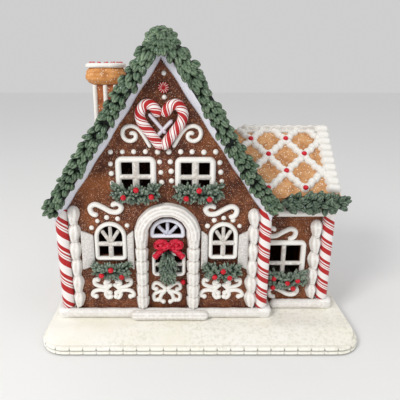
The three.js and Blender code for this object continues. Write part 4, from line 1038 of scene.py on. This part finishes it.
def make_swag():
    draw = random.Random(5)
    u, top, low, needles = vars(SWAG).values()
    swag = Form()
    core = smooth_path([(u, top - 3), (u, low + 4)], 1)
    tube(swag, FRONT, core, 13, 5, DOOR_OUT, 16, unshaded=0.0,
         swell=lambda t: 0.35 + 0.65 * np.sin(math.pi * np.clip(0.08 + 0.84 * t, 0, 1)))
    for _ in range(needles):
        t = draw.random() ** 0.9
        reach = 8.4 * math.sin(math.pi * (0.1 + 0.8 * t)) ** 0.8
        x = draw.uniform(-1, 1)
        out = DOOR_OUT + 2.2 + 3.6 * math.sqrt(1 - x * x)
        at = (u + 0.8 * x * reach, top - 3 - t * (top - low - 11), out)
        turn, tilt = -90 + 38 * x + draw.uniform(-22, 22), draw.uniform(-2, 22)
        needle(swag, FRONT, at, turn, tilt, draw.uniform(4.6, 6.8), draw.uniform(0.85, 1.15), 0.7, 0.12)
    piece("door_swag_sprigs", swag, SPRAY, ["door_swag"])


# Garlands
GARLANDS = {
    "garland_upper_left": dict(
        u=-25.6, v=151.5, half=25, high=23.5, seed=3,
        berries=[(-24.9, 154.7), (-37.1, 147.6), (-10.6, 148.1)]),
    "garland_upper_right": dict(
        u=33.8, v=151.5, half=25.6, high=22.5, seed=4, berries=[(34, 154.1), (22, 146.4), (43.8, 145.8)]),
    "garland_lower_left": dict(
        u=-52.2, v=71.4, half=21.4, high=20, seed=8, berries=[(-52.4, 72.3), (-62, 66.5), (-41.8, 65)]),
    "garland_lower_right": dict(
        u=58.2, v=70.6, half=20.8, high=21.5, seed=9, berries=[(58.7, 71.1), (50.4, 64.9), (65.3, 64.1)]),
    "garland_annex": dict(
        u=91, v=53.4, half=23.4, high=27, seed=6,
        berries=[(77.4, 54), (92, 48.6), (102.4, 51.4), (98.4, 42.4), (77, 43.6)]),
}


# Layers of the sprays and of the eave's garland, from the wall outwards: number of leaves and their tilt
SPRAY_LAYERS = (62, 4), (56, 18), (48, 30)
EAVE_LAYERS = (50, 4), (44, 14), (30, 22)


def make_garland(name, plane, u, v, half, high, seed, berries, leafy=False):
    """A sagging spray under a window, in three layers that stand out more and more, with berries on it."""
    draw = random.Random(seed)
    out = WINDOW_OUT + GAP
    form = Form()

    def sag(x):
        return 0.26 * high * (x / half) ** 2 - 0.1 * high

    spots = [(u + x, v + sag(x)) for x in np.linspace(-half + 6, half - 6, 5)]
    tube(form, plane, smooth_path(spots, 1), 0.5 * high, 3.4, out, unshaded=0.0)
    for layer, (count, tilt) in enumerate(SPRAY_LAYERS):
        inner = layer < 2
        for i in range(count):
            x = (2 * (i + draw.random()) / count - 1) * (half - 4.6)
            y = draw.uniform(-0.28, 0.28) * high * (1 if inner else 0.4)
            lean = 62 * (x / half)
            turn = 90 - lean if y > -0.05 * high else lean - 90
            turn += draw.uniform(-34, 34) * (1 if inner else 2.4)
            at = (u + x * 0.94, v + sag(x) + y * 0.6, out + 0.9 + 1.1 * layer)
            aim = at, turn, tilt + draw.uniform(-8, 8)
            long = draw.uniform(5.4, 7.8) * (1.0 if inner else 0.7)
            if leafy:
                leaf(form, plane, *aim, long * 1.08, draw.uniform(2.8, 3.6), 1.8, 0.12, 1.2)
            else:
                needle(form, plane, *aim, long, draw.uniform(1.15, 1.55), 0.66, 0.1)
    piece(name + "_sprigs", form, SPRAY, [name])
    sweets = Form()
    for x, y in berries:
        ball(sweets, plane.place((x, y, out + 5)), 2.75)
    piece(name + "_berries", sweets, BERRY, [name])


RAKE = Sizes(length=189, lift=5, spacing=7.6, leaf_long=8.8, leaf_wide=5.5, missing=0.1)
# Leaves of one cluster on the right: turn from straight down, place across and out, tilt and size
CLUSTER = [
    (32, 3.5, 1.2, 4, 0.92), (-32, -3.5, 1.2, 4, 0.92), (26, 2.4, 3.0, 12, 0.95), (-26, -2.4, 3.0, 12, 0.95),
    (8, 0.8, 4.8, 18, 1.0), (-12, -1.4, 5.2, 20, 0.86),
]
# Leaves of the peak's right half: turn, place across, up and out, and length
ROSETTE = [
    (80, 1.5, 3.5, 1.6, 8), (46, 3, 2.5, 1.8, 9), (16, 5, 1.5, 2.0, 9.5), (-16, 7, -1, 1.4, 10),
    (-40, 9.5, -6, 1.2, 10), (-8, 4, 1, 3.2, 10.5), (-34, 4, -1, 3.4, 11), (-58, 3.4, -2.5, 3.8, 10.5),
    (-82, 1.4, -3, 4, 10.5),
    (62, 0.6, 3.5, 4.4, 7.5), (24, 0.8, 4.5, 4.8, 8.5), (-16, 1.4, 3.5, 5.4, 9.5), (-46, 1.2, 2.5, 6, 9.5),
    (-84, 0, 2, 6.6, 9), (-66, -0.6, 7.4, 7.4, 8.6), (-30, -1.4, 8, 6.8, 8), (10, -2.4, 7, 6.4, 7.5),
]


def make_rake_garland(name, side, seed):
    """Clusters of leaves lapped down a front edge of the roof, from a rosette at the peak."""
    draw = random.Random(seed)
    lift, length = RAKE.lift, RAKE.length
    back = ROOF.front + GAP
    form = Form()

    def spot(distance, across, out):
        bent = 2.6 - 4.6 * min(1, distance / 140) + 2.6 * max(0, distance - 150) / 40 if side > 0 else -0.6
        u = distance * math.cos(PITCH) + (lift + bent + across) * math.sin(PITCH)
        v = HOUSE.apex - distance * math.sin(PITCH) + (lift + bent + across) * math.cos(PITCH)
        return np.array((side * u, v, back + out))

    down = -HOUSE.pitch if side > 0 else HOUSE.pitch - 180
    core = even_path([spot(d, 0, 0)[:2] for d in np.linspace(9, length - 6, 24)], 1.5, closed=False)
    tube(form, FRONT, core, 12.4, 4.4, back, 16, unshaded=0.0)
    count = round(length / RAKE.spacing)
    for i in range(1, count):
        distance = 4 + (length - 15) * i / (count - 1)
        big = 1.25 - 0.25 * min(1, distance / 60)
        for fan, across, out, tilt, size in CLUSTER:
            if draw.random() < RAKE.missing:
                continue
            at = spot(distance + draw.uniform(-2.6, 2.6), across + draw.uniform(-1.2, 1.2), out)
            if side * at[0] < 3.5:
                continue
            turn = down + side * fan * draw.uniform(0.5, 1.35) + draw.uniform(-14, 14)
            rise = tilt + draw.uniform(-6, 12)
            long = RAKE.leaf_long * big * size * draw.uniform(0.82, 1.14)
            wide = RAKE.leaf_wide * big * draw.uniform(0.84, 1.14)
            leaf(form, FRONT, at, turn, rise, long, wide, 3.1, 0.26)
    for turn, across, rise, out, long in ROSETTE:
        angle = (turn if side > 0 else 180 - turn) + draw.uniform(-7, 7)
        foot = (0.7 + side * across, HOUSE.apex + 1.5 + rise, back + out + draw.uniform(-0.3, 0.3))
        leaf(form, FRONT, foot, angle, draw.uniform(0, 8), long, 6.6, 3.2, 0.3)
    piece(name + "_leaves", form, RAKE_LEAF, [name])


EAVE_GARLAND = Sizes(start=78, end=145, v=138.4, out=12.4)


def make_eave_garland():
    draw = random.Random(77)
    start, end, v, out = vars(EAVE_GARLAND).values()
    form = Form()
    tube(form, ANNEX_FRONT, smooth_path([(start + 3, v), (end - 5, v)], 1.2), 12, 6, out, 16, unshaded=0.0)
    for layer, (count, tilt) in enumerate(EAVE_LAYERS):
        for i in range(count):
            x = start + 4 + (end - start - 12) * (i + draw.random()) / count
            y = draw.uniform(-5.4, 5.6)
            turn = y * 14 + draw.uniform(-30, 30) + (180 if draw.random() < 0.25 else 0)
            at, rise = (x, v + y * 0.8, out + 1.4 + 1.5 * layer), tilt + draw.uniform(-6, 8)
            long, wide = draw.uniform(7.4, 9.6), draw.uniform(4.6, 5.8)
            leaf(form, ANNEX_FRONT, at, turn, rise, long, wide, 2.8, 0.26, 1.1)
    piece("annex_eave_sprigs", form, DARK_LEAF, ["annex_eave_garland"])


# Roofs
def clip_line(x, slope, left, right, top, bottom):
    """The stretch inside a rectangle of the line that crosses its top edge at x."""
    y_at = [top + (side - x) * slope for side in (left, right)]
    low, high = max(bottom, min(y_at)), min(top, max(y_at))
    if high - low < 6:
        return None
    return [(x + (high - top) / slope, high), (x + (low - top) / slope, low)]


def lattice_lines(form, plane, field, lattice, width, height, keep):
    """Wavy lines of icing, thick and thin by turns, both ways over a slope, as far as keep lets them."""
    for side in (-1, 1):
        lean = side * lattice["across"] / lattice["down"]
        for k in range(-14, 15):
            crossing = lattice["start"] + (2 * k + 1) * lattice["across"] - lattice.get("rise", 0) * lean
            ends = clip_line(crossing, 1 / (lean + lattice.get("skew", 0)), *field)
            for part in keep(plane, smooth_path(ends)) if ends else ():
                ruffle(form, plane, part, width, height)


def ruffle(form, plane, path, width, height, lump=4.4):
    length = np.linalg.norm(path[-1] - path[0])
    if length < 4:
        return
    count = max(1, round(length / lump))
    heading = (path[-1] - path[0]) / length
    wave = 0.5 * np.sin(math.pi * count * np.linspace(0, 1, len(path)))
    # The lumps are thinner where they meet, and painted shade darkens the icing there
    tube(form, plane, path + wave[:, None] * np.array((heading[1], -heading[0])), width, height, -0.4, 12,
         swell=lambda t: 0.82 + 0.18 * np.abs(np.sin(math.pi * count * t)),
         groove_shade=lambda t: 0.5 * np.clip(1 - 5 * np.abs(np.sin(math.pi * count * t)), 0, 1))


def runs(path, clear):
    """The stretches of a path whose points are clear, leaving out the shortest."""
    edges = np.flatnonzero(np.diff(np.concatenate([[0], clear, [0]])))
    return [path[start:end] for start, end in zip(edges[::2], edges[1::2]) if end - start > 4]


def outside_main_roof(plane, path):
    """The stretches of a path that lie clear of the main roof and its icing."""
    x, _, z = plane.place(raised(path, 2)).T
    u = np.abs(x - HOUSE.x)
    return runs(path, (z > roof_line(u, ROOF.thick + 0.5)) | (u > ROOF.eave + 5))


def clear_of_wing(plane, path):
    """The stretches of a path on the main roof that lie clear of the wing's roof and of the chimney."""
    x, y, z = plane.place(raised(path, 2)).T
    run = np.abs(y - RIDGE_Y)
    under_wing = (x > HOUSE.x) & (z < annex_roof_line(run, 6) + 3) & (run < ANNEX_RUN + ANNEX.eave + 8)
    beside, behind = np.abs(x - CHIMNEY.x), np.abs(y - CHIMNEY.y)
    stack = (beside < CHIMNEY.wide / 2 + 4) & (behind < CHIMNEY.deep / 2 + 4)
    return runs(path, ~(under_wing | stack))


ANNEX_LATTICE = dict(start=92.4, rise=5, skew=0.1, across=18.2, down=20.4)
MAIN_LATTICE = dict(across=19.33, down=22.67)


def make_annex_roof():
    ridge = (0, RIDGE_Y, annex_roof_line(0, ANNEX.thick))
    run = (ANNEX_RUN + ANNEX.eave) / math.cos(ANNEX_PITCH)
    edge = ANNEX.end - 5
    icing, sweets = Form(), Form()
    draw = random.Random(31)
    start, rise, skew, across, down = ANNEX_LATTICE.values()
    for turn, sign in ((0, 1), (180, -1)):
        plane = slope_plane(ridge, turn, ANNEX_PITCH)
        lattice = dict(ANNEX_LATTICE, start=sign * start, skew=sign * skew)
        field = (*sorted((sign * 24, sign * edge)), 0, -run + 2)
        lattice_lines(icing, plane, field, lattice, 8, 5.2, outside_main_roof)
        for i in range(10):
            v = -2 - (run - 6) * i / 9
            line = smooth_path([(sign * (edge - 8.2), v + 1.6), (sign * (edge + 6.4), v)], 0.6)
            tube(icing, plane, line, 9.2, 6.8, -0.6, 20, end_reach=4)
    plane = slope_plane(ridge, 0, ANNEX_PITCH)
    for row in range(1, 5):
        v = rise - row * down
        for k in range(-6, 7):
            x = start + (2 * k + (row + 1) % 2) * across + skew * v
            inside = 40 < x < edge - 17 and v >= -run + 4
            if inside and outside_main_roof(plane, np.array([(x, v)] * 6)):
                ball(sweets, plane.place((x, v, 4.6)) + draw.uniform(-0.4, 0.4), 2.7, 0.9)
    path = smooth_path([(44, RIDGE_Y), (ANNEX.end - 1, RIDGE_Y)])
    path[:, 1] += 0.7 * np.sin(path[:, 0] / 5)
    tube(icing, GROUND, path, 11, 6.6, ridge[2] - 1, 18, under=0.8, swell=lumps(8, 0.2), ribs=3, depth=0.06)
    piece("annex_roof_lattice", icing, ICING, ["annex_roof_icing"])
    piece("annex_roof_sweets", sweets, BERRY, ["annex_roof_icing"])
    repaint(COOKIE, "annex_roof_front", "annex_roof_back")


def make_main_roof():
    repaint(GINGERBREAD, "roof_left", "roof_right")
    icing = Form()
    bottom = 4 - ROOF.eave / math.cos(PITCH)
    low, high = HOUSE.front - ROOF.front + 4, HOUSE_BACK + ROOF.back - 2
    ridge = (HOUSE.x, 0, roof_line(0, ROOF.thick))
    for turn, left, right in ((-90, -high, -low), (90, low, high)):
        plane = slope_plane(ridge, turn, PITCH)
        lattice = dict(MAIN_LATTICE, start=(left + right) / 2)
        lattice_lines(icing, plane, (left, right, -3, bottom), lattice, 6.8, 4.6, clear_of_wing)
        for part in clear_of_wing(plane, smooth_path([(left, bottom), (right, bottom)])):
            count = max(1, round(np.linalg.norm(part[-1] - part[0]) / 9))
            shell_row(icing, plane, part, count, 9.4, 5.4, 0.35, 0.12)
    path = smooth_path([(HOUSE.x, low - 2), (HOUSE.x, high)])
    tube(icing, GROUND, path, 10, 6.4, ridge[2] - 2, 18, under=0.5, swell=lumps(12, 0.18), ribs=3, depth=0.06)
    piece("main_roof_lattice", icing, ICING, ["main_roof_icing"])


FASCIA = Sizes(steps=130, lobes=9, drop=7)


def make_fascia():
    """The slanting band of icing under the roof's front edge, with a scalloped outer edge."""
    form = Form()
    deep, steps = ROOF.front - 1, FASCIA.steps
    for side in (-1, 1):
        rings = []
        for i in range(steps + 1):
            part = i / steps
            u = part * (ROOF.eave - 2) + 0.02
            wander = 2.4 * math.sin(TAU * 2.3 * part)
            bite = 0.5 + 0.5 * math.sin(TAU * FASCIA.lobes * part + wander + side)
            over_post = min(1, max(0, (u - HOUSE.half + 6) / 4))
            out = deep * (1 - 0.24 * bite * (1 - over_post)) + 1.2 * over_post
            drop = FASCIA.drop / math.cos(PITCH) * (1 + 0.06 * math.sin(31 * part + side))
            top = roof_line(u, -GAP)
            ring = [(side * u, top - drop * (1 - t) - 0.54 * math.sin(math.pi * t),
                     GAP + out * t + 0.45 * math.sin(math.pi * t)) for t in np.linspace(0, 1, 7)]
            rings.append(ring + [(side * u, top, GAP + out), (side * u, top, GAP)])
        plain_skin(form, FRONT, np.array(rings))
    # The band is the bluish copy of the icing with painted shade
    piece("rake_fascia_band", form, SHADED_ICING, ["rake_fascia"])


def make_back_rake():
    form = Form()
    reach, lift = ROOF.eave - 4, ROOF.back + GAP
    for side in (-1, 1):
        path = smooth_path([(0, roof_line(0, 2.6)), (side * reach, roof_line(reach, 2.6))])
        shell_row(form, BACK, path, 15, 10.4, 6.4, 0.4, 0.13, lift=lift)
    piece("rake_back_shells", form, ICING, ["rake_back"])


# Chimney and posts
def upright_tube(form, x, y, low, high, radius, sides=14, striped=False, roofed=False):
    """An upright rod, with guides for stripes and a top cut to the roof's slope where asked."""
    heights = np.linspace(low, high, max(3, int((high - low) / 2)))
    rings = lathe(sides, [(radius, z) for z in heights], (x, y, 0))
    if roofed:
        top = rings[-1:].copy()
        top[..., 2] = np.maximum(high, roof_line(top[..., 0] - HOUSE.x, -GAP) - 0.3)
        rings = np.concatenate([rings, top])
    if striped:
        skin(form, rings, turn_guides(rings[..., 2], sides))
    else:
        plain_skin(form, GROUND, rings)


def make_chimney():
    x, y, top = CHIMNEY.x + CHIMNEY.shift, CHIMNEY.y, CHIMNEY.top
    half, deep = CHIMNEY.shaft / 2, CHIMNEY.deep / 2
    shaft = Form()
    sides = [(x + u, y + v, roof_line(x + u - HOUSE.x, ROOF.thick + GAP))
             for u, v in rounded_outline(half - 1.5, deep - 1.5, 1.2, 3)]
    rings = [[(u, v, foot + (top - foot) * t) for u, v, foot in sides] for t in np.linspace(0, 1, 40)]
    plain_skin(shaft, GROUND, np.array(rings))
    piece("chimney_shaft_block", shaft, SHAFT, ["chimney_shaft"], smooth=False)
    ropes = Form()
    places = [(along * (half - 1.8), side * (deep - 1.5)) for along in (-1, 0, 1) for side in (-1, 1)]
    for u, v in places + [(1.5 - half, 0), (half - 1.5, 0)]:
        foot = roof_line(x + u - HOUSE.x, ROOF.thick + 1)
        upright_tube(ropes, x + u, y + v, foot, top, 2.2)
    piece("chimney_ropes", ropes, ICING, ["chimney_shaft"])

    cap = Form()
    low, high = top + GAP, CHIMNEY.cap_high
    edge = rounded_outline(CHIMNEY.cap_wide / 2, CHIMNEY.cap_deep / 2, 15, 26)
    rings = []
    for t in np.arange(19) / 18:
        belly = math.sin(math.pi * (0.1 + 0.8 * t)) ** 0.16
        ring = []
        for u, v in edge:
            crack = noise.noise((u * 0.05, v * 0.05, t * 7)) + 0.5 * noise.noise((u * 0.2, v * 0.2, t * 16))
            reach = belly * (0.955 + 0.05 * crack) - 0.12 * max(0, 1 - t / 0.25)
            ring.append((x + u * reach, y + v * reach, low + high * t))
        rings.append(ring)
    plain_skin(cap, GROUND, np.array(rings))
    piece("chimney_cap_biscuit", cap, CAP, ["chimney_cap"])

    icing, sweets = Form(), Form()
    level = low + high + GAP
    levels = [(1.2, level - 0.2), (0, level + 1), (0.2, level + 2.6), (1.6, level + 3.9), (5, level + 4.3)]
    slab(icing, GROUND,
         lambda inset: rounded_outline(19.2 - inset, 17.8 - inset, 13 - min(inset, 6), 12), levels, (x, y))
    piece("chimney_icing_layer", icing, ICING, ["chimney_icing"])
    draw = random.Random(21)
    for i in range(14):
        spot = (*around(x, y, 360 * i / 14, 15.4, 14), level + 4.3)
        ball(sweets, spot, draw.uniform(1.1, 1.5), 0.9, 10)
    piece("chimney_sweets", sweets, BERRY, ["chimney_icing"])


HEART_U = -0.4
CANE = [
    (0.2, 192.6), (-9.9, 206.2), (-17.6, 216.6), (-19.4, 225), (-14.8, 232.2), (-8.6, 231.6), (-4, 226.2),
    (-2, 221.6),
]
STICKS = [((-12.4, 224.6), (3.4, 206)), ((9.4, 218.6), (-5.6, 203))]
MINT_SWEET = Sizes(u=1.6, v=247, radius=4.9, sides=48)
MINT_PROFILE = np.array([
    (0.88, 0.3), (0.97, 0.8), (1.0, 1.4), (0.93, 2.2), (0.72, 2.7), (0.45, 2.9), (0.2, 2.95),
])


def make_heart():
    for name, side in (("cane_left", 1), ("cane_right", -1)):
        form = Form()
        path = smooth_path(set_out(CANE, HEART_U, 0, side), 0.6)
        tube(form, FRONT, path, 9.6, 4.7, GAP + 3.3, 24, under=0.7, striped=True)
        piece(name + "_candy", form, CANE_STRIPES, [name])
    sticks = Form()
    for ends in STICKS:
        tube(sticks, FRONT, smooth_path(ends, 1), 3.8, 2.8, GAP, 12, under=0.0)
    piece("heart_sticks_sugar", sticks, SUGAR, ["heart_sticks"])
    mint = Form()
    u, v, radius, sides = vars(MINT_SWEET).values()
    rings = FRONT.place(lathe(sides, MINT_PROFILE * (radius, 1), (u, v, 0)))
    skin(mint, rings, turn_guides(MINT_PROFILE[:, :1], sides))
    piece("mint_sweet", mint, MINT, ["mint"])


def make_posts():
    beside, out = POST.beside, POST.out
    left, right = HOUSE.x - HOUSE.half - beside, HOUSE_RIGHT + beside
    wing = ANNEX.side + beside
    for name, x, y, stripes in (
        ("front_left", left, HOUSE.front - out, POST_STRIPES_WIDE),
        ("front_right", right, HOUSE.front - out, POST_STRIPES),
        ("annex_front", wing, ANNEX.front - out, POST_STRIPES),
        ("back_left", left, HOUSE_BACK + out, POST_STRIPES),
        ("back_right", right, HOUSE_BACK + out, POST_STRIPES),
        ("annex_back", wing, ANNEX.back + out, POST_STRIPES),
    ):
        form = Form()
        main = x != wing
        top = POST.top if main else POST.annex_top
        upright_tube(form, x, y, LEDGE, top, POST.radius, 32, striped=True, roofed=main)
        piece("post_" + name + "_candy", form, stripes, ["post_" + name])
    draw = random.Random(44)
    for name, plane, u, top, count, bulge in (
        ("stack_left", FRONT, -87.4, 137, 6, -1.5), ("stack_right", FRONT, 88.2, 134, 6, 1.5),
        ("stack_annex", ANNEX_FRONT, 119.6, 116, 5, 1.5),
    ):
        form = Form()
        path = smooth_path([(u, top), (u, LEDGE - 0.4)])
        path[:, 0] += bulge * (np.linspace(0, count, len(path)) % 1 - 0.5)
        shell_row(form, plane, path, count, 12.8, 7.8, 0.5, 0.15, lap=0.1, lift=GAP, draw=draw, head=0.4)
        piece(name + "_shells", form, RIBBED, [name])


# Base and plinth
BOARD_LAP = 1.2
SNOW_INSETS = (3, 5, 7, 9, 11, 13, 15, 18, 21, 24, 28, 34, 45, 60, 80)
RIM = Sizes(middle=3.4, width=6.6, sides=20, stitch=12.8, points=14)


def make_base():
    edge, high, corner = BASE.edge, BASE.height, BASE.corner
    half_x, half_y = (size / 2 - edge + BOARD_LAP for size in (BASE.width, BASE.depth))
    levels = [(1.2, 0), (0, 1.2), (0, high - 1.2), (0.5, high - 0.3), (1.6, high)]
    levels += [(inset, high) for inset in SNOW_INSETS]
    board = Form()
    slab(board, GROUND,
         lambda inset: rounded_outline(half_x - inset, half_y - inset, max(2, corner - edge - inset), 14),
         levels)
    block = board.points[0]
    start, end, low = vars(SNOW_SLOPE).values()
    share = np.clip((HOUSE.front - block[:, 1] - start) / (end - start), 0, 1)
    block[:, 2] = np.minimum(block[:, 2], high - (high - low) * share**1.25)
    piece("base_snow", board, SNOW, ["base_board"])

    rim = Form()
    middle = RIM.middle
    outline = rounded_outline(BASE.width / 2 - middle, BASE.depth / 2 - middle, corner - middle, 12)
    length = ways_along(even_path(outline))[-1]
    count = round(length / RIM.stitch)
    path = even_path(outline, length / (RIM.points * count))
    for low, stitched in ((0, 0.5), (BASE.course - BASE.lap, 1)):
        rim_course(rim, path, low, stitched, count)
    piece("base_rim", rim, SNOW, ["base_edge"])


def rim_course(form, path, low, stitched, count):
    """A fat line of icing lying on the ground, its section nearly square with round edges, with stitches."""
    width, height = RIM.width, BASE.course
    t = np.linspace(0, 1, len(path))
    away = np.abs(t * count - np.round(t * count))
    size = 1 - 0.12 * np.exp(-((away / 0.06) ** 2))
    angle = turns(RIM.sides)
    across, up = np.cos(angle), np.sin(angle)
    across = np.sign(across) * np.abs(across) ** 0.82 * width / 2
    rise = low + height / 2 + np.sign(up) * np.abs(up) ** 0.95 * height / 2
    local = sweep(path, across, rise, size, closed=True)
    # Painted shade: the underside of each course is darkened, as in the crease between courses, and so are
    # the notches at the stitches
    seam = np.clip(-up - 0.15, 0, 1) * 3.4
    marks = stitched * np.exp(-((away / 0.045) ** 2))[:, None] * np.clip(1.05 - up, 0, 1)
    guides = np.zeros_like(local)
    guides[..., 0] = np.clip(np.maximum(marks, seam), 0, 1)
    guides[..., 1] = 1
    skin(form, local[:-1], guides[:-1], closed=True)


def corner_pads(form, xs, ys):
    """Flat pads of icing that fill the plinth's corners under the posts."""
    top = PLINTH.top
    levels = [(1.6, FLOOR + 0.2), (0, FLOOR + 2), (0, top - 2), (0.8, top - 0.4), (2.4, top)]
    for place in ((x, y) for x in xs for y in ys):
        slab(form, GROUND,
             lambda inset: rounded_outline(7.6 - inset, 7 - inset, 5 - 0.8 * inset, 5), levels, place)


PAD_BESIDE = 9.4
STEP = Sizes(left=-34, right=45, blobs=10)


def make_plinth():
    """The fat ribbed line of icing round the foot of the walls, and the step at the door."""
    height = PLINTH.top - FLOOR
    out, middle = PLINTH.out, FLOOR + height / 2
    rope = dict(height=height / 2, under=1, lift=middle, sides=36, ribs=9, depth=0.09)
    inset = out / 2 - 0.1
    ring = rounded_outline(PLINTH.side - inset, HOUSE.depth / 2 + out - inset, 4.5, 8)
    path = even_path(ring + np.array((HOUSE.x, HOUSE_MIDDLE)))
    form = Form()
    tube(form, GROUND, path, out - 0.4, closed=True, swell=lumps(34, 0.05), **rope)
    reach = HOUSE.half + PAD_BESIDE
    corner_pads(form, (HOUSE.x - reach, HOUSE.x + reach), (HOUSE.front, HOUSE_BACK))
    piece("plinth_main_rope", form, RIBBED, ["plinth_main"])

    start = HOUSE.x + PLINTH.side + GAP + 0.6
    end = ANNEX.side + PLINTH.side - HOUSE.half
    low, high = ANNEX.front - out, ANNEX.back + out
    hook = [(start, low + 4), (end - 7, low + 4), (end - 5, low + 5), (end - 4, low + 8)]
    hook += [(end - 4, high - 8), (end - 5, high - 5), (end - 7, high - 4), (start, high - 4)]
    form = Form()
    tube(form, GROUND, even_path(hook, closed=False), out - 0.2, swell=lumps(26, 0.05), **rope)
    corner_pads(form, [ANNEX.side + PAD_BESIDE], (ANNEX.front, ANNEX.back))
    piece("plinth_annex_rope", form, RIBBED, ["plinth_annex"])

    step = Form()
    path = smooth_path([(STEP.left, middle), (STEP.right, middle)])
    wave = TAU * STEP.blobs
    # Painted shade darkens the step's rope where its blobs meet
    tube(step, FRONT, path, height + 0.4, 6.2, out + GAP, 30, ribs=4, depth=0.08, under=0.0,
         swell=lambda t: 1 - 0.1 * np.sin(math.pi * t) - 0.06 * np.cos(wave * t) ** 8,
         groove_shade=lambda t: 0.8 * np.clip(np.cos(wave * t) * 9 - 8.2, 0, 1))
    piece("door_step_rope", step, RIBBED, ["door_step"])


# Materials in use; the stripes' bands are shares of the pattern's length that are red
CANE_BANDS = [(0.02, 0.14), (0.22, 0.6), (0.69, 0.78)]
POST_BANDS = [(0.02, 0.19), (0.24, 0.32), (0.37, 0.41), (0.46, 0.72)]
GINGERBREAD = gingerbread_material()
COOKIE = biscuit_material("cookie", srgb(222, 176, 126), srgb(198, 144, 94), srgb(150, 92, 48))
CAP = biscuit_material("cap", srgb(226, 168, 106), srgb(208, 142, 78), srgb(150, 88, 42))
SHAFT = biscuit_material("shaft", srgb(196, 124, 70), srgb(160, 88, 44), srgb(104, 52, 26))
# Each icing's second colour is the painted shade in its grooves
ICING = icing_material("icing", srgb(240, 238, 233), srgb(168, 158, 148))
RIBBED = icing_material("ribbed_icing", srgb(246, 244, 241), srgb(202, 194, 184))
# A bluish grey copy of the icing, as painted shade, for the fascia band and the fanlight
SHADED_ICING = icing_material("shaded_icing", srgb(226, 228, 238), srgb(150, 152, 172))
WEAVE = woven_material("woven_icing", srgb(228, 224, 220), srgb(198, 194, 190))
SUGAR = icing_material("sugar_stick", srgb(214, 210, 220), srgb(150, 150, 170))
SNOW = snow_material()
RAKE_LEAF = leaf_material(
    "rake_leaf", srgb(26, 46, 34), srgb(54, 82, 60), srgb(96, 124, 92), srgb(176, 194, 164))
DARK_LEAF = leaf_material(
    "dark_leaf", srgb(20, 38, 30), srgb(44, 68, 52), srgb(72, 96, 74), srgb(160, 176, 154))
SPRAY = leaf_material("spray", srgb(26, 42, 32), srgb(54, 74, 58), srgb(84, 104, 84), srgb(196, 208, 192))
BERRY = berry_material()
RIBBON = ribbon_material()
CANE_STRIPES = stripe_material("cane_stripes", 12.5, -2, CANE_BANDS)
POST_STRIPES = stripe_material("post_stripes", -22.5, -1, POST_BANDS)
POST_STRIPES_WIDE = stripe_material("post_stripes_wide", -30, -1, POST_BANDS)
MINT = mint_material()

make_studio()
make_base()
make_plinth()
make_front_wall()
make_hidden_walls()
make_annex_front()
make_windows()
make_shutters()
make_doorway()
make_bow()
make_swag()
for garland, settings in GARLANDS.items():
    annex = garland == "garland_annex"
    make_garland(garland, ANNEX_FRONT if annex else FRONT, **settings, leafy=annex)
make_rake_garland("garland_rake_left", -1, 11)
make_rake_garland("garland_rake_right", 1, 23)
make_eave_garland()
make_main_roof()
make_annex_roof()
make_fascia()
make_back_rake()
make_chimney()
make_heart()
make_posts()
